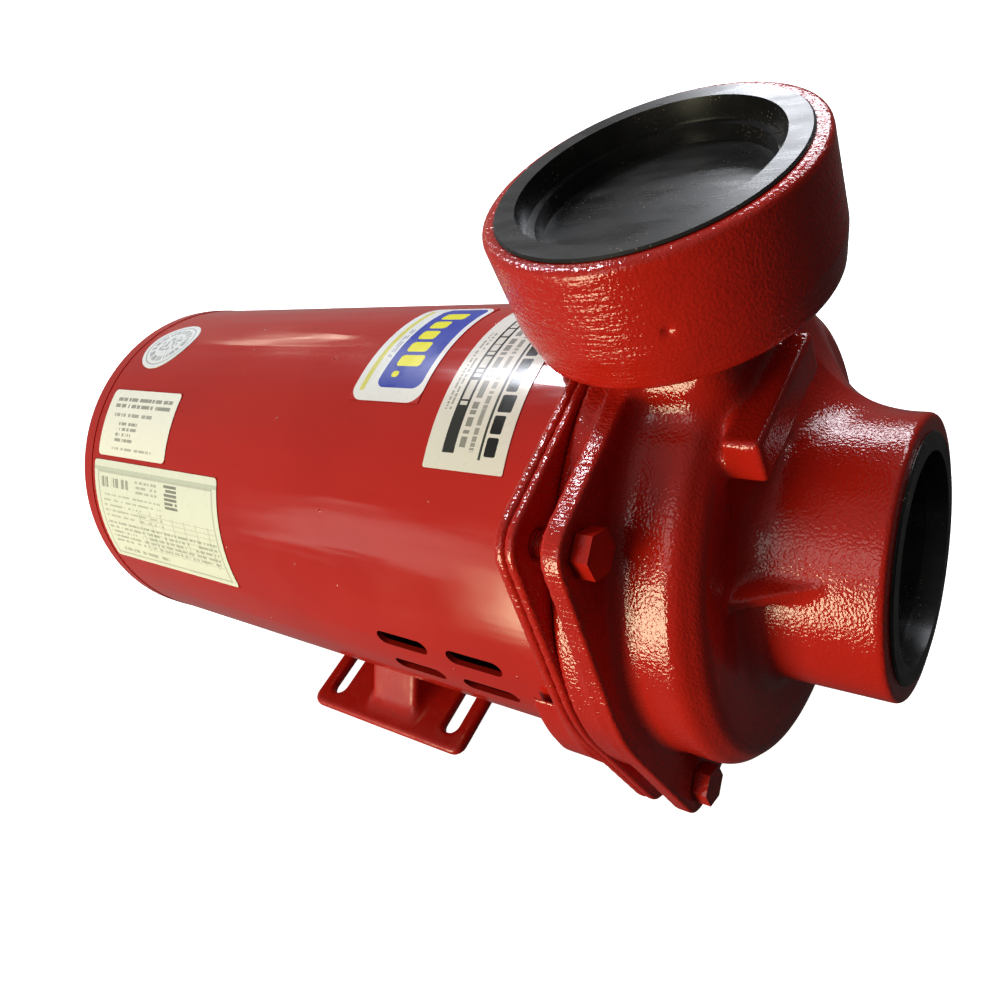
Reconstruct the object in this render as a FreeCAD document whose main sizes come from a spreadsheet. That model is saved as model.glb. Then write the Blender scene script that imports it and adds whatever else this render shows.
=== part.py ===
import FreeCAD, Part
import Sketcher
import math
import os
import re

# A close-coupled end-suction centrifugal pump on a foot-mounted motor with a round shell.
# +X runs along the shaft towards the suction nozzle, +Z is up, millimetres throughout.
# The origin lies on the mounting plane, midway between the foot's four slots.

Vector = FreeCAD.Vector
Placement = FreeCAD.Placement
Rotation = FreeCAD.Rotation

doc = FreeCAD.newDocument("pump")

# Driving dimensions. Names ending in _x are stations along the shaft, counted from the origin.
DRIVING = {
    # shaft height, gaps between pieces, and how far a cutter runs past what it cuts
    "shaft_height": 88.9, "print_gap": 0.3, "fit_gap": 0.05, "press_gap": 0.1, "cut_over": 1,
    # motor shell and its ventilation slots
    "shell_radius": 82.5, "shell_wall": 2, "shell_rear_x": -118, "shell_front_x": 144,
    "vent_x": 61.2, "vent_pitch_x": 34.4, "vent_length": 25, "vent_width": 7,
    "vent_low_z": -6, "vent_rise": 16.5,
    # foot: slots to the NEMA 56 pattern
    "foot_length": 100, "foot_width": 167, "foot_plate": 5, "foot_corner": 6,
    "slot_pitch_x": 76.2, "slot_pitch_y": 123.8,
    "slot_width": 8.8, "slot_length": 27, "saddle_rear_x": -13, "saddle_front_x": 17,
    "saddle_base_half": 76.5, "saddle_top_half": 52, "saddle_top": 30, "saddle_wall": 3,
    "saddle_hollow_width": 16, "saddle_hollow_inset": 18,
    # lug plates: a round ring with four lugs, drawn round together
    "ring_radius": 88, "lug_offset": 66.4, "lug_radius": 11.8, "bolt_radius": 4,
    "shield_plate": 4, "seal_plate_thickness": 3.5, "gasket_thickness": 0.5, "gasket_radius": 73,
    "lug_gap": 8, "casing_plate": 7, "head_flats": 13, "head_height": 5.5,
    "bolt_length": 22,
    # spigots and tie bolts
    "spigot_radius": 69, "spigot_depth": 15, "tie_circle": 74.5, "tie_radius": 2.5, "web": 5,
    "lip_radius": 90, "lip_x": 132, "lip_half_angle": 13, "tie_clearance": 0.5, "tie_hidden": 4,
    "tie_flats": 8, "tie_head": 4,
    "conduit_x": -87, "conduit_radius": 10.5, "conduit_wall": 3.5, "conduit_end": 92,
    "conduit_tail": 3, "conduit_flange": 2.5,
    # rear end
    "cover_x": -120.5, "cover_end_x": -130.5, "cover_wall": 1.5, "cover_corner": 3.5,
    "post_circle": 60, "post_radius": 5, "cover_screw_radius": 2, "cover_screw_length": 14,
    "cover_screw_flats": 7, "cover_screw_head": 2.2, "rear_web_x": -112, "tap_depth": 3,
    # bearings: 6203 at the rear, 6205 at the front
    "rear_bearing_x": -108, "rear_bearing_width": 12, "rear_bearing_bore": 8.5, "rear_bearing_radius": 20,
    "front_bearing_x": 119, "front_bearing_width": 15, "front_bearing_bore": 12.5, "front_bearing_radius": 26,
    "seat_lead": 1, "seat_end": 0.5, "shoulder": 3, "shoulder_opening": 3,
    "front_hub_wall": 7, "rear_hub_wall": 6,
    "race_shoulder": 0.45, "race_chord": 0.93, "race_floor": 0.48,
    "washer_room": 1.2, "washer_rear": 0.9, "washer_front": 0.1, "washer_width": 4, "washer_edge": 0.5,
    # electrical parts
    "core_x": -59, "core_length": 100, "stator_bore": 48, "stator_slot_root": 66, "air_gap": 0.5,
    "coil_reach": 22, "cage_reach": 12, "core_shaft_radius": 14,
    "tooth_tip": 2, "stator_slot_half": 2.6, "coil_lead": 0.5, "cage_depth": 16, "cage_inset": 1,
    "fan_x": 71, "fan_width": 16, "fan_radius": 66, "fan_disc": 2, "fan_hub_wall": 6, "blade_half": 1.2,
    "terminal_y": 46, "terminal_width": 26, "terminal_height": 44, "board_thickness": 5,
    "stud_radius": 2, "stud_length": 7, "stud_offset_y": 8, "stud_pitch_z": 14, "stud_nut_flats": 7,
    "stud_nut_height": 3, "rear_ball": 3.3, "front_ball": 3.9,
    # wet end
    "seal_plate_x": 148, "gasket_x": 151.5, "shaft_end_x": 191, "hub_end_x": 181, "thread_radius": 5.5,
    "slinger_seat": 9.5, "slinger_radius": 20, "slinger_rear": 10, "slinger_front": 8.4,
    "key_x": 167, "key_width": 4, "key_depth": 2, "key_end": 0.5,
    "seal_pocket": 5, "seal_pocket_wall": 2.5, "seal_boss_radius": 24, "seal_bore_gap": 2.6,
    "seal_cup_radius": 16.1, "seal_cup_wall": 2.6, "seal_cup_floor": 0.9, "seal_cup_front": 2.5,
    "seat_front": 3.3, "seat_bore_gap": 0.7,
    "face_rear": 3.4, "face_front": 6.4, "face_bore_gap": 0.4, "face_inset": 3.6, "collar_front": 9,
    "collar_inset": 2, "spring_radius": 11.8, "spring_pitch": 2.1, "spring_wire": 0.8, "spring_coils": 2,
    "hub_radius": 12, "hub_step": 7, "hub_step_radius": 18, "hub_root_radius": 24, "back_recess": 2,
    "back_recess_radius": 15, "eye_wall": 2.8, "nut_flats": 17, "nut_height": 7, "nut_washer": 1.6,
    "nut_washer_radius": 10,
    "vane_centre_y": -18, "vane_centre_z": 22, "vane_curve": 40, "vane_thickness": 3.5, "vane_start": 26,
    "rib_front_x": 206, "rib_near_y": -29.5, "rib_length": 46, "rib_height": 13, "rib_top": 75,
    "rib_root": 6, "gusset_z": 24.3, "gusset_thickness": 3.2, "gusset_end_x": 217, "gusset_root": 9,
    "gusset_inner": 14, "gusset_outer": 6.8, "gusset_tip": 8.6,
    "drain_x": 177, "drain_y": 10, "drain_radius": 4.9, "drain_length": 5,
    "drain_socket": 4, "drain_flats": 5,
    "seal_shaft_radius": 7.94, "impeller_x": 161, "impeller_radius": 66, "impeller_width": 17, "shroud": 3,
    "eye_radius": 33.4, "eye_x": 188, "chamber_radius": 70.5, "chamber_x": 184, "volute_radius": 80.5,
    "volute_shift_y": 2.5, "casing_wall": 6.5, "casing_front_x": 194, "casing_round": 10, "dish": 4,
    "dish_inner": 4, "dish_outer": 13, "entry_step": 1, "chamber_back": 2, "spot_face_gap": 0.8,
    # suction nozzle, bored for a G 2 1/2 thread
    "nozzle_radius": 46.3, "nozzle_x": 234.6, "suction_thread": 37.6, "suction_throat": 34,
    # discharge boss, bored for a G 3 thread
    "boss_radius": 50.4, "boss_x": 169.6, "boss_y": 17.8, "boss_top": 132.9, "boss_base": 92.5,
    "discharge_thread": 43.95, "rim_bevel": 2.5, "nozzle_bevel": 1.5, "boss_bevel_height": 4, "boss_bevel": 5,
    "neck_near_y": -24, "neck_far_y": 50, "neck_height": 34, "neck_spread_near": 4, "neck_spread_far": 16,
    "neck_front": 3, "neck_near_wall": 10, "neck_far_wall": 16, "neck_roof": 11,
    # thread bores: an outer stretch for the plug, a relief groove and an inner stretch
    "plug_stretch": 15, "relief": 1.6, "relief_depth": 0.8, "inner_stretch": 14,
    "throat_cone": 3, "throat_step": 4,
    # transport plugs
    "plug_rim": 1, "plug_depth": 14, "plug_floor": 3, "plug_lead": 0.15, "plug_chamfer": 1,
    "rim_round": 0.6, "plug_step": 6, "plug_draft": 0.8, "plug_ledge": 3.6, "plug_floor_edge": 4,
    "suction_rim": 40.6, "discharge_rim": 45.6,
    "suction_opening": 34.4, "discharge_opening": 38.8,
    # labels wrapped on the shell
    "label_lift": 0.03, "label_thickness": 0.25, "seal_label_radius": 16, "seal_label_x": -98,
    "seal_label_margin": 4, "seal_label_punch": 10,
}

sheet = doc.addObject("Spreadsheet::Sheet", "Sizes")
for line, (word, number) in enumerate(DRIVING.items(), start=1):
    sheet.set(f"A{line}", word)
    sheet.set(f"B{line}", str(number))
    sheet.setAlias(f"B{line}", word)
doc.recompute()

# counts and angles
POSTS = (90, 210, 330)
TIE_BOLTS = (45, 135, 225, 315)
LIPS = {"near": 189, "far": -9}
STATOR_SLOTS = 24
FAN_BLADES = 8
VANES = 6
REAR_BALLS = 8
FRONT_BALLS = 9
ROUND_LABEL_ARC = (60, 120)

ALONG_X = Rotation(Vector(0, 1, 0), 90)
ANGLE_FROM_UP = ALONG_X.multiply(Rotation(Vector(0, 0, 1), 180))
X_TO_AWAY = Rotation(Vector(0, 0, 1), 90)
X_TO_UP = Rotation(Vector(0, 1, 0), -90)
UPRIGHT = Rotation()


# ---------------------------------------------------------------- helpers

def value(text):
    """The number that an expression over the sheet's names gives."""
    return float(sheet.evalExpression(str(text)))


def bind(thing, target, text):
    """Drive one property or constraint of an object from the sheet."""
    words = re.sub(r"[a-z][a-z_0-9]*", lambda m: f"Sizes.{m[0]}" if m[0] in DRIVING else m[0], str(text))
    thing.setExpression(target, words)


def place(thing, x="0", y="0", z="0", rotation=UPRIGHT):
    """Put an object at x, y, z from the shaft's line; z counts from the shaft."""
    thing.Placement = Placement(Vector(0, 0, 0), rotation)
    bind(thing, "Placement.Base.x", x)
    bind(thing, "Placement.Base.y", y)
    bind(thing, "Placement.Base.z", f"shaft_height + ({z})")
    return thing


def origin_feature(body, role):
    return next(f for f in body.Origin.OriginFeatures if f.Role == role)


def new_body(label):
    body = doc.addObject("PartDesign::Body", label)
    body.Label = label
    bind(body, "Placement.Base.z", "shaft_height")
    return body


def new_sketch(body, role, offset="0"):
    """A sketch on one of the body's origin planes, moved along that plane's normal."""
    sketch = body.newObject("Sketcher::SketchObject", f"{body.Name}_sketch")
    sketch.AttachmentSupport = [(origin_feature(body, role), "")]
    sketch.MapMode = "FlatFace"
    bind(sketch, "AttachmentOffset.Base.z", offset)
    return sketch


def pin_point(sketch, geometry, point, x, y):
    """Dimension a sketch point from the sketch's origin, along both of its axes."""
    for text, kind, axis in ((x, "DistanceX", -2), (y, "DistanceY", -1)):
        if str(text) == "0":
            sketch.addConstraint(Sketcher.Constraint("PointOnObject", geometry, point, axis))
        else:
            rule = Sketcher.Constraint(kind, -1, 1, geometry, point, value(text))
            bind(sketch, f"Constraints[{sketch.addConstraint(rule)}]", text)


def set_radius(sketch, geometry, text):
    rule = Sketcher.Constraint("Radius", geometry, value(text))
    bind(sketch, f"Constraints[{sketch.addConstraint(rule)}]", text)


def outline(sketch, corners):
    """A closed run of straight lines through corners, each dimensioned from the origin."""
    first = sketch.GeometryCount
    points = [Vector(value(x), value(y), 0) for x, y in corners]
    count = len(points)
    for i in range(count):
        sketch.addGeometry(Part.LineSegment(points[i], points[(i + 1) % count]))
    for i in range(count):
        sketch.addConstraint(Sketcher.Constraint("Coincident", first + i, 2, first + (i + 1) % count, 1))
    for i, (x, y) in enumerate(corners):
        pin_point(sketch, first + i, 1, x, y)


def circle(sketch, x, y, radius):
    index = sketch.addGeometry(Part.Circle(Vector(value(x), value(y), 0), Vector(0, 0, 1), value(radius)))
    pin_point(sketch, index, 3, x, y)
    set_radius(sketch, index, radius)


def slot(sketch, x, y, length, width, upright=False):
    """A slot with round ends, centred on x, y; length is end to end."""
    first = sketch.GeometryCount
    half, radius = (value(length) - value(width)) / 2, value(width) / 2
    centre = Vector(value(x), value(y), 0)
    along, across = (Vector(0, 1, 0), Vector(-1, 0, 0)) if upright else (Vector(1, 0, 0), Vector(0, 1, 0))
    turn = math.pi / 2 if upright else 0
    ends = (centre - along * half, centre + along * half)
    for end, start in zip(ends, (turn + math.pi / 2, turn - math.pi / 2)):
        arc = Part.Circle(end, Vector(0, 0, 1), radius)
        sketch.addGeometry(Part.ArcOfCircle(arc, start, start + math.pi))
    sketch.addGeometry(Part.LineSegment(ends[0] - across * radius, ends[1] - across * radius))
    sketch.addGeometry(Part.LineSegment(ends[1] + across * radius, ends[0] + across * radius))
    for a, p, b, q in ((0, 2, 2, 1), (2, 2, 1, 1), (1, 2, 3, 1), (3, 2, 0, 1)):
        sketch.addConstraint(Sketcher.Constraint("Tangent", first + a, p, first + b, q))
    reach = f"({length} - {width}) / 2"
    for i, sign in ((0, "-"), (1, "+")):
        shifted = (x, f"{y} {sign} {reach}") if upright else (f"{x} {sign} {reach}", y)
        pin_point(sketch, first + i, 3, *shifted)
    set_radius(sketch, first, f"{width} / 2")


def lug_outline(sketch):
    """The ring and its four lugs, drawn round together by lines that touch both."""
    ring, lug, offset = value("ring_radius"), value("lug_radius"), value("lug_offset")
    reach = offset * math.sqrt(2)
    swing = math.acos((ring - lug) / reach)
    first = sketch.GeometryCount
    spots = []
    for quarter in range(4):
        middle = math.radians(45 + 90 * quarter)
        centre = Vector(reach * math.cos(middle), reach * math.sin(middle), 0)
        spots.append((Vector(0, 0, 0), ring, middle - math.pi / 2 + swing, middle - swing))
        spots.append((centre, lug, middle - swing, middle + swing))
    ends = []
    for centre, radius, start, stop in spots:
        arc = Part.ArcOfCircle(Part.Circle(centre, Vector(0, 0, 1), radius), start, stop)
        sketch.addGeometry(arc)
        ends.append((arc.StartPoint, arc.EndPoint))
    for i in range(8):
        sketch.addGeometry(Part.LineSegment(ends[i][1], ends[(i + 1) % 8][0]))
    for i in range(8):
        sketch.addConstraint(Sketcher.Constraint("Tangent", first + i, 2, first + 8 + i, 1))
        sketch.addConstraint(Sketcher.Constraint("Tangent", first + 8 + i, 2, first + (i + 1) % 8, 1))
    for quarter, (sx, sy) in enumerate((("", ""), ("-", ""), ("-", "-"), ("", "-"))):
        ring_arc, lug_arc = first + 2 * quarter, first + 2 * quarter + 1
        pin_point(sketch, ring_arc, 3, "0", "0")
        set_radius(sketch, ring_arc, "ring_radius")
        pin_point(sketch, lug_arc, 3, f"{sx}lug_offset", f"{sy}lug_offset")
        set_radius(sketch, lug_arc, "lug_radius")


def turn(body, corners):
    """Revolve a profile of (station along X, radius) corners about the body's X axis."""
    sketch = new_sketch(body, "XZ_Plane")
    outline(sketch, corners)
    feature = body.newObject("PartDesign::Revolution", f"{body.Name}_turn")
    feature.Profile = sketch
    feature.ReferenceAxis = (sketch, ["H_Axis"])
    feature.Angle = 360
    return feature


def turned_out(body, corners):
    """Cut a revolved profile out of a body."""
    sketch = new_sketch(body, "XZ_Plane")
    outline(sketch, corners)
    feature = body.newObject("PartDesign::Groove", f"{body.Name}_groove")
    feature.Profile = sketch
    feature.ReferenceAxis = (sketch, ["H_Axis"])
    feature.Angle = 360
    return feature


def turned(label, corners):
    body = new_body(label)
    turn(body, corners)
    return body


def ring(label, start, stop, inner, outer):
    return turned(label, [(start, inner), (stop, inner), (stop, outer), (start, outer)])


def pad(body, sketch, length):
    feature = body.newObject("PartDesign::Pad", f"{body.Name}_pad")
    feature.Profile = sketch
    bind(feature, "Length", length)
    return feature


def pocket(body, sketch, both_ways=False):
    """Cut a sketch right through the body, along its normal or along both directions."""
    feature = body.newObject("PartDesign::Pocket", f"{body.Name}_pocket")
    feature.Profile = sketch
    feature.Type = "ThroughAll"
    feature.Midplane = both_ways
    return feature


def repeat_round(body, feature, count):
    """Repeat a feature round the body's X axis."""
    pattern = body.newObject("PartDesign::PolarPattern", f"{body.Name}_round")
    pattern.Originals = [feature]
    pattern.Axis = (origin_feature(body, "X_Axis"), [""])
    pattern.Angle = 360
    pattern.Occurrences = count
    body.Tip = pattern
    return pattern


def drilled(body, corners_and_radius, offset="0"):
    """Drill round holes along X; each entry is (y, z, radius)."""
    sketch = new_sketch(body, "YZ_Plane", offset)
    for y, z, radius in corners_and_radius:
        circle(sketch, y, z, radius)
    return pocket(body, sketch, both_ways=True)


def four_corners(offset):
    return [(f"{a}{offset}", f"{b}{offset}") for a in ("", "-") for b in ("", "-")]


def on_circle(radius, degrees):
    """Expressions for y and z at an angle on a circle about the shaft."""
    angle = math.radians(degrees)
    return f"({radius}) * {math.cos(angle):.6f}", f"({radius}) * {math.sin(angle):.6f}"


def cylinder(name, radius, height, x, y="0", z="0", rotation=ALONG_X):
    thing = doc.addObject("Part::Cylinder", name)
    bind(thing, "Radius", radius)
    bind(thing, "Height", height)
    return place(thing, x, y, z, rotation)


def hexagon(name, flats, height, x, y="0", z="0", rotation=ALONG_X):
    thing = doc.addObject("Part::Prism", name)
    thing.Polygon = 6
    bind(thing, "Circumradius", f"({flats}) / 1.732051")
    bind(thing, "Height", height)
    return place(thing, x, y, z, rotation)


def joined(name, shapes):
    thing = doc.addObject("Part::MultiFuse", name)
    thing.Shapes = shapes
    thing.Label = name
    return thing


def without(name, base, tool):
    thing = doc.addObject("Part::Cut", name)
    thing.Base = base
    thing.Tool = tool
    thing.Label = name
    return thing


def group(label, members):
    """Identical loose pieces kept together as one sub-part."""
    thing = doc.addObject("Part::Compound", label)
    thing.Links = members
    thing.Label = label
    return thing


def screws(label, spots, shank_radius, shank_length, flats, head, seat_x, shank_side):
    """Hexagon screws along X: heads rise from seat_x, shanks run to shank_side (-1 or +1)."""
    members = []
    for index, (y, z) in enumerate(spots):
        head_x = seat_x if shank_side < 0 else f"{seat_x} - ({head})"
        shank_x = f"{seat_x} - ({shank_length})" if shank_side < 0 else seat_x
        top = hexagon(f"{label}_head_{index}", flats, head, head_x, y, z)
        shank = cylinder(f"{label}_shank_{index}", shank_radius, shank_length, shank_x, y, z)
        members.append(joined(f"{label}_{index}", [top, shank]))
    return group(label, members)


# ---------------------------------------------------------------- motor frame

def make_shell():
    """Rolled steel tube with two rows of ventilation slots on each side."""
    body = new_body("motor_shell")
    inner = "shell_radius - shell_wall"
    turn(body, [("shell_rear_x", inner), ("shell_front_x", inner),
                ("shell_front_x", "shell_radius"), ("shell_rear_x", "shell_radius")])
    sketch = new_sketch(body, "XZ_Plane")
    for column in range(2):
        for row in range(2):
            slot(sketch, f"vent_x + vent_length / 2 + {column} * vent_pitch_x",
                 f"vent_low_z + {row} * vent_rise", "vent_length", "vent_width")
    pocket(body, sketch, both_ways=True)
    sketch = new_sketch(body, "XZ_Plane")
    circle(sketch, "conduit_x", "0", "conduit_radius + conduit_wall + press_gap")
    pocket(body, sketch)
    return body


def make_foot():
    """Pressed foot: a slotted base plate under a hollow saddle that carries the shell."""
    body = new_body("foot_pressing")
    sketch = new_sketch(body, "XY_Plane", "-shaft_height")
    half_x, half_y = "foot_length / 2", "foot_width / 2"
    outline(sketch, [(f"-{half_x}", f"-{half_y}"), (half_x, f"-{half_y}"), (half_x, half_y),
                     (f"-{half_x}", half_y)])
    plate = pad(body, sketch, "foot_plate")
    doc.recompute()
    corners = [i for i, edge in enumerate(plate.Shape.Edges, start=1) if abs(edge.tangentAt(0).z) > 0.5]
    rounding = body.newObject("PartDesign::Fillet", "foot_rounding")
    rounding.Base = (plate, [f"Edge{i}" for i in corners])
    bind(rounding, "Radius", "foot_corner")
    sketch = new_sketch(body, "YZ_Plane", "saddle_rear_x")
    floor, top = "foot_plate / 2 - shaft_height", "saddle_top - shaft_height"
    outline(sketch, [("-saddle_base_half", floor), ("saddle_base_half", floor),
                     ("saddle_top_half", top), ("-saddle_top_half", top)])
    pad(body, sketch, "saddle_front_x - saddle_rear_x")
    sketch = new_sketch(body, "YZ_Plane")
    circle(sketch, "0", "0", "shell_radius + fit_gap")
    pocket(body, sketch, both_ways=True)
    sketch = new_sketch(body, "XY_Plane", "-shaft_height")
    for side_x in ("", "-"):
        for side_y in ("", "-"):
            slot(sketch, f"{side_x}slot_pitch_x / 2", f"{side_y}slot_pitch_y / 2",
                 "slot_length", "slot_width", upright=True)
    pocket(body, sketch, both_ways=True)
    hollows = []
    for name, side in (("near", "-1"), ("far", "1")):
        hollow = doc.addObject("Part::Box", f"saddle_hollow_{name}")
        bind(hollow, "Length", "saddle_front_x - saddle_rear_x - 2 * saddle_wall")
        bind(hollow, "Width", "saddle_hollow_width")
        bind(hollow, "Height", "saddle_top / 2")
        middle = f"{side} * (saddle_base_half - saddle_wall - saddle_hollow_inset)"
        place(hollow, "saddle_rear_x + saddle_wall", f"{middle} - saddle_hollow_width / 2",
              "-shaft_height - cut_over")
        hollows.append(hollow)
    return without("motor_foot", body, joined("saddle_hollows", hollows))


def lug_plate(body, start, thickness):
    """A flat plate with the ring-and-lugs outline and its four bolt holes."""
    sketch = new_sketch(body, "YZ_Plane", start)
    lug_outline(sketch)
    pad(body, sketch, thickness)


def bolt_holes(body, radius):
    drilled(body, [(y, z, radius) for y, z in four_corners("lug_offset")])


def tie_spots():
    return [on_circle("tie_circle", degrees) for degrees in TIE_BOLTS]


def make_front_shield():
    """Cast end shield: lug plate, spigot in the shell, web, hub and bearing seat."""
    body = new_body("front_shield_casting")
    lug_plate(body, "shell_front_x", "shield_plate")
    spigot = "shell_radius - shell_wall - press_gap"
    seat = "front_bearing_radius + fit_gap"
    hub = "front_bearing_radius + front_hub_wall"
    start = "front_bearing_x - seat_lead"
    stop = "front_bearing_x + front_bearing_width + seat_end"
    opening = "front_bearing_bore + shoulder_opening"
    face = "shell_front_x + shield_plate"
    turn(body, [(start, seat), (stop, seat), (stop, opening), (f"{stop} + shoulder", opening),
                (f"{stop} + shoulder", seat), (face, seat), (face, spigot),
                ("shell_front_x - spigot_depth", spigot),
                ("shell_front_x - spigot_depth", "spigot_radius"), ("shell_front_x - web", "spigot_radius"),
                ("shell_front_x - web", hub), (start, hub)])
    turned_out(body, [(f"{stop} + shoulder", "0"), (f"{face} + cut_over", "0"), (f"{face} + cut_over", seat),
                      (f"{stop} + shoulder", seat)])
    bolt_holes(body, "bolt_radius + press_gap")
    sketch = new_sketch(body, "YZ_Plane", "shell_front_x - spigot_depth - cut_over")
    for y, z in tie_spots():
        circle(sketch, y, z, "tie_radius + press_gap")
    tapped = body.newObject("PartDesign::Pocket", "front_shield_taps")
    tapped.Profile = sketch
    tapped.Reversed = True
    bind(tapped, "Length", "spigot_depth - cut_over")
    lips = [shield_lip(name, degrees) for name, degrees in LIPS.items()]
    return joined("front_end_shield", [body] + lips)


def shield_lip(name, degrees):
    """A raised lip behind the lug plate that hooks over the shell's edge."""
    outer = doc.addObject("Part::Cylinder", f"lip_{name}_outer")
    inner = doc.addObject("Part::Cylinder", f"lip_{name}_inner")
    for thing, radius in ((outer, "lip_radius"), (inner, "shell_radius + fit_gap")):
        bind(thing, "Radius", radius)
        bind(thing, "Height", "shell_front_x - lip_x + shield_plate / 8")
    bind(outer, "Angle", "2 * lip_half_angle")
    place(inner, "lip_x", rotation=ALONG_X)
    start = degrees - 90 - value("lip_half_angle")
    place(outer, "lip_x", rotation=Rotation(Vector(1, 0, 0), start).multiply(ANGLE_FROM_UP))
    return without(f"lip_{name}", outer, inner)


def make_rear_shield():
    """Cast rear end shield: rim, spigot, web, bearing pocket and three cover posts."""
    body = new_body("rear_end_shield")
    spigot = "shell_radius - shell_wall - press_gap"
    seat = "rear_bearing_radius + fit_gap"
    hub = "rear_bearing_radius + rear_hub_wall"
    rear, front = "rear_bearing_x - washer_room", "rear_bearing_x + rear_bearing_width + seat_lead"
    turn(body, [("rear_web_x", "0"), (rear, "0"), (rear, seat), (front, seat),
                (front, hub), ("rear_web_x + web", hub), ("rear_web_x + web", "spigot_radius"),
                ("shell_rear_x + spigot_depth", "spigot_radius"), ("shell_rear_x + spigot_depth", spigot),
                ("shell_rear_x", spigot), ("shell_rear_x", "shell_radius"), ("cover_x", "shell_radius"),
                ("cover_x", "spigot_radius"), ("rear_web_x", "spigot_radius")])
    posts = new_sketch(body, "YZ_Plane", "cover_end_x + cover_wall")
    for degrees in POSTS:
        circle(posts, *on_circle("post_circle", degrees), "post_radius")
    pad(body, posts, "rear_web_x + cut_over - cover_end_x - cover_wall")
    taps = new_sketch(body, "YZ_Plane", "rear_web_x - tap_depth")
    for degrees in POSTS:
        circle(taps, *on_circle("post_circle", degrees), "cover_screw_radius + press_gap")
    tapped = body.newObject("PartDesign::Pocket", "rear_end_shield_taps")
    tapped.Profile = taps
    tapped.Type = "ThroughAll"
    drilled(body, [(y, z, "tie_radius + press_gap") for y, z in tie_spots()])
    return body


def make_rear_cover():
    """Pressed cup that closes the terminal space."""
    body = new_body("rear_cover")
    outer, inner = "shell_radius + print_gap", "shell_radius + print_gap - cover_wall"
    edge, flat = f"{outer} - cover_corner", "cover_end_x + cover_corner"
    bend = "cover_corner * (1 - sqrt(0.5))"
    turn(body, [("cover_x", inner), (flat, inner),
                (f"cover_end_x + cover_wall + {bend}", f"{inner} - {bend}"),
                ("cover_end_x + cover_wall", edge), ("cover_end_x + cover_wall", "0"), ("cover_end_x", "0"),
                ("cover_end_x", edge), (f"cover_end_x + {bend}", f"{outer} - {bend}"), (flat, outer),
                ("cover_x", outer)])
    sketch = new_sketch(body, "YZ_Plane")
    for degrees in POSTS:
        circle(sketch, *on_circle("post_circle", degrees), "cover_screw_radius + press_gap")
    pocket(body, sketch, both_ways=True)
    return body


def make_conduit_bush():
    """Threaded cable entry on the far side of the shell."""
    bore, wall = "conduit_radius", "conduit_wall"
    tail, seat = "shell_radius - shell_wall - conduit_tail", "shell_radius + print_gap"
    flange = "conduit_flange"
    body = turned("conduit_bush", [
        (tail, bore), ("conduit_end", bore), ("conduit_end", f"{bore} + {wall} + {flange}"),
        (seat, f"{bore} + {wall} + {flange}"), (seat, f"{bore} + {wall}"), (tail, f"{bore} + {wall}")])
    return place(body, "conduit_x", rotation=X_TO_AWAY)


def make_terminal_board():
    board = doc.addObject("Part::Box", "terminal_board")
    bind(board, "Length", "board_thickness")
    bind(board, "Width", "terminal_width")
    bind(board, "Height", "terminal_height")
    return place(board, "rear_web_x - board_thickness", "terminal_y - terminal_width / 2",
                 "-terminal_height / 2")


def make_terminal_studs():
    members = []
    for row in (-1, 0, 1):
        for side in (-1, 1):
            y, z = f"terminal_y + {side} * stud_offset_y", f"{row} * stud_pitch_z"
            face = "rear_web_x - board_thickness"
            stem = cylinder("stud", "stud_radius", "stud_length", f"{face} - stud_length", y, z)
            nut = hexagon("stud_nut", "stud_nut_flats", "stud_nut_height", f"{face} - stud_nut_height", y, z)
            members.append(joined("terminal_stud", [stem, nut]))
    return group("terminal_studs", members)


# ---------------------------------------------------------------- electrical parts and rotor

def make_stator_core():
    """Lamination stack with 24 closed slots and holes for the tie bolts."""
    body = new_body("stator_core")
    outer = "shell_radius - shell_wall - press_gap"
    end = "core_x + core_length"
    turn(body, [("core_x", "stator_bore"), (end, "stator_bore"), (end, outer), ("core_x", outer)])
    drilled(body, [(y, z, "tie_radius + tie_clearance") for y, z in tie_spots()])
    sketch = new_sketch(body, "YZ_Plane")
    inner, half = "stator_bore + tooth_tip", "stator_slot_half"
    outline(sketch, [(f"-{half}", inner), (half, inner), (half, "stator_slot_root"),
                     (f"-{half}", "stator_slot_root")])
    repeat_round(body, pocket(body, sketch, both_ways=True), STATOR_SLOTS)
    return body


def make_stator_windings():
    """Slot conductors joined by the end turns at both ends."""
    body = new_body("stator_windings")
    inner, outer = "stator_bore + tooth_tip + print_gap", "stator_slot_root - print_gap"
    half = "(stator_slot_half - print_gap)"
    end = "core_x + core_length"
    sketch = new_sketch(body, "YZ_Plane", "core_x - 2 * coil_lead")
    outline(sketch, [(f"-{half}", inner), (half, inner), (half, outer), (f"-{half}", outer)])
    repeat_round(body, pad(body, sketch, "core_length + 4 * coil_lead"), STATOR_SLOTS)
    rear_turns = ("core_x - coil_reach", "core_x - coil_lead")
    front_turns = (f"{end} + coil_lead", f"{end} + coil_reach")
    for start, stop in (rear_turns, front_turns):
        turn(body, [(start, inner), (stop, inner), (stop, outer), (start, outer)])
    return body


def make_rotor_core():
    return ring("rotor_core", "core_x", "core_x + core_length", "core_shaft_radius + fit_gap",
                "stator_bore - air_gap")


def make_rotor_end_rings():
    """Cast aluminium end rings of the squirrel cage."""
    inner, outer = "stator_bore - cage_depth", "stator_bore - air_gap - cage_inset"
    rear = ring("end_ring_rear", "core_x - cage_reach", "core_x", inner, outer)
    end = "core_x + core_length"
    front = ring("end_ring_front", end, f"{end} + cage_reach", inner, outer)
    return group("rotor_end_rings", [rear, front])


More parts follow.
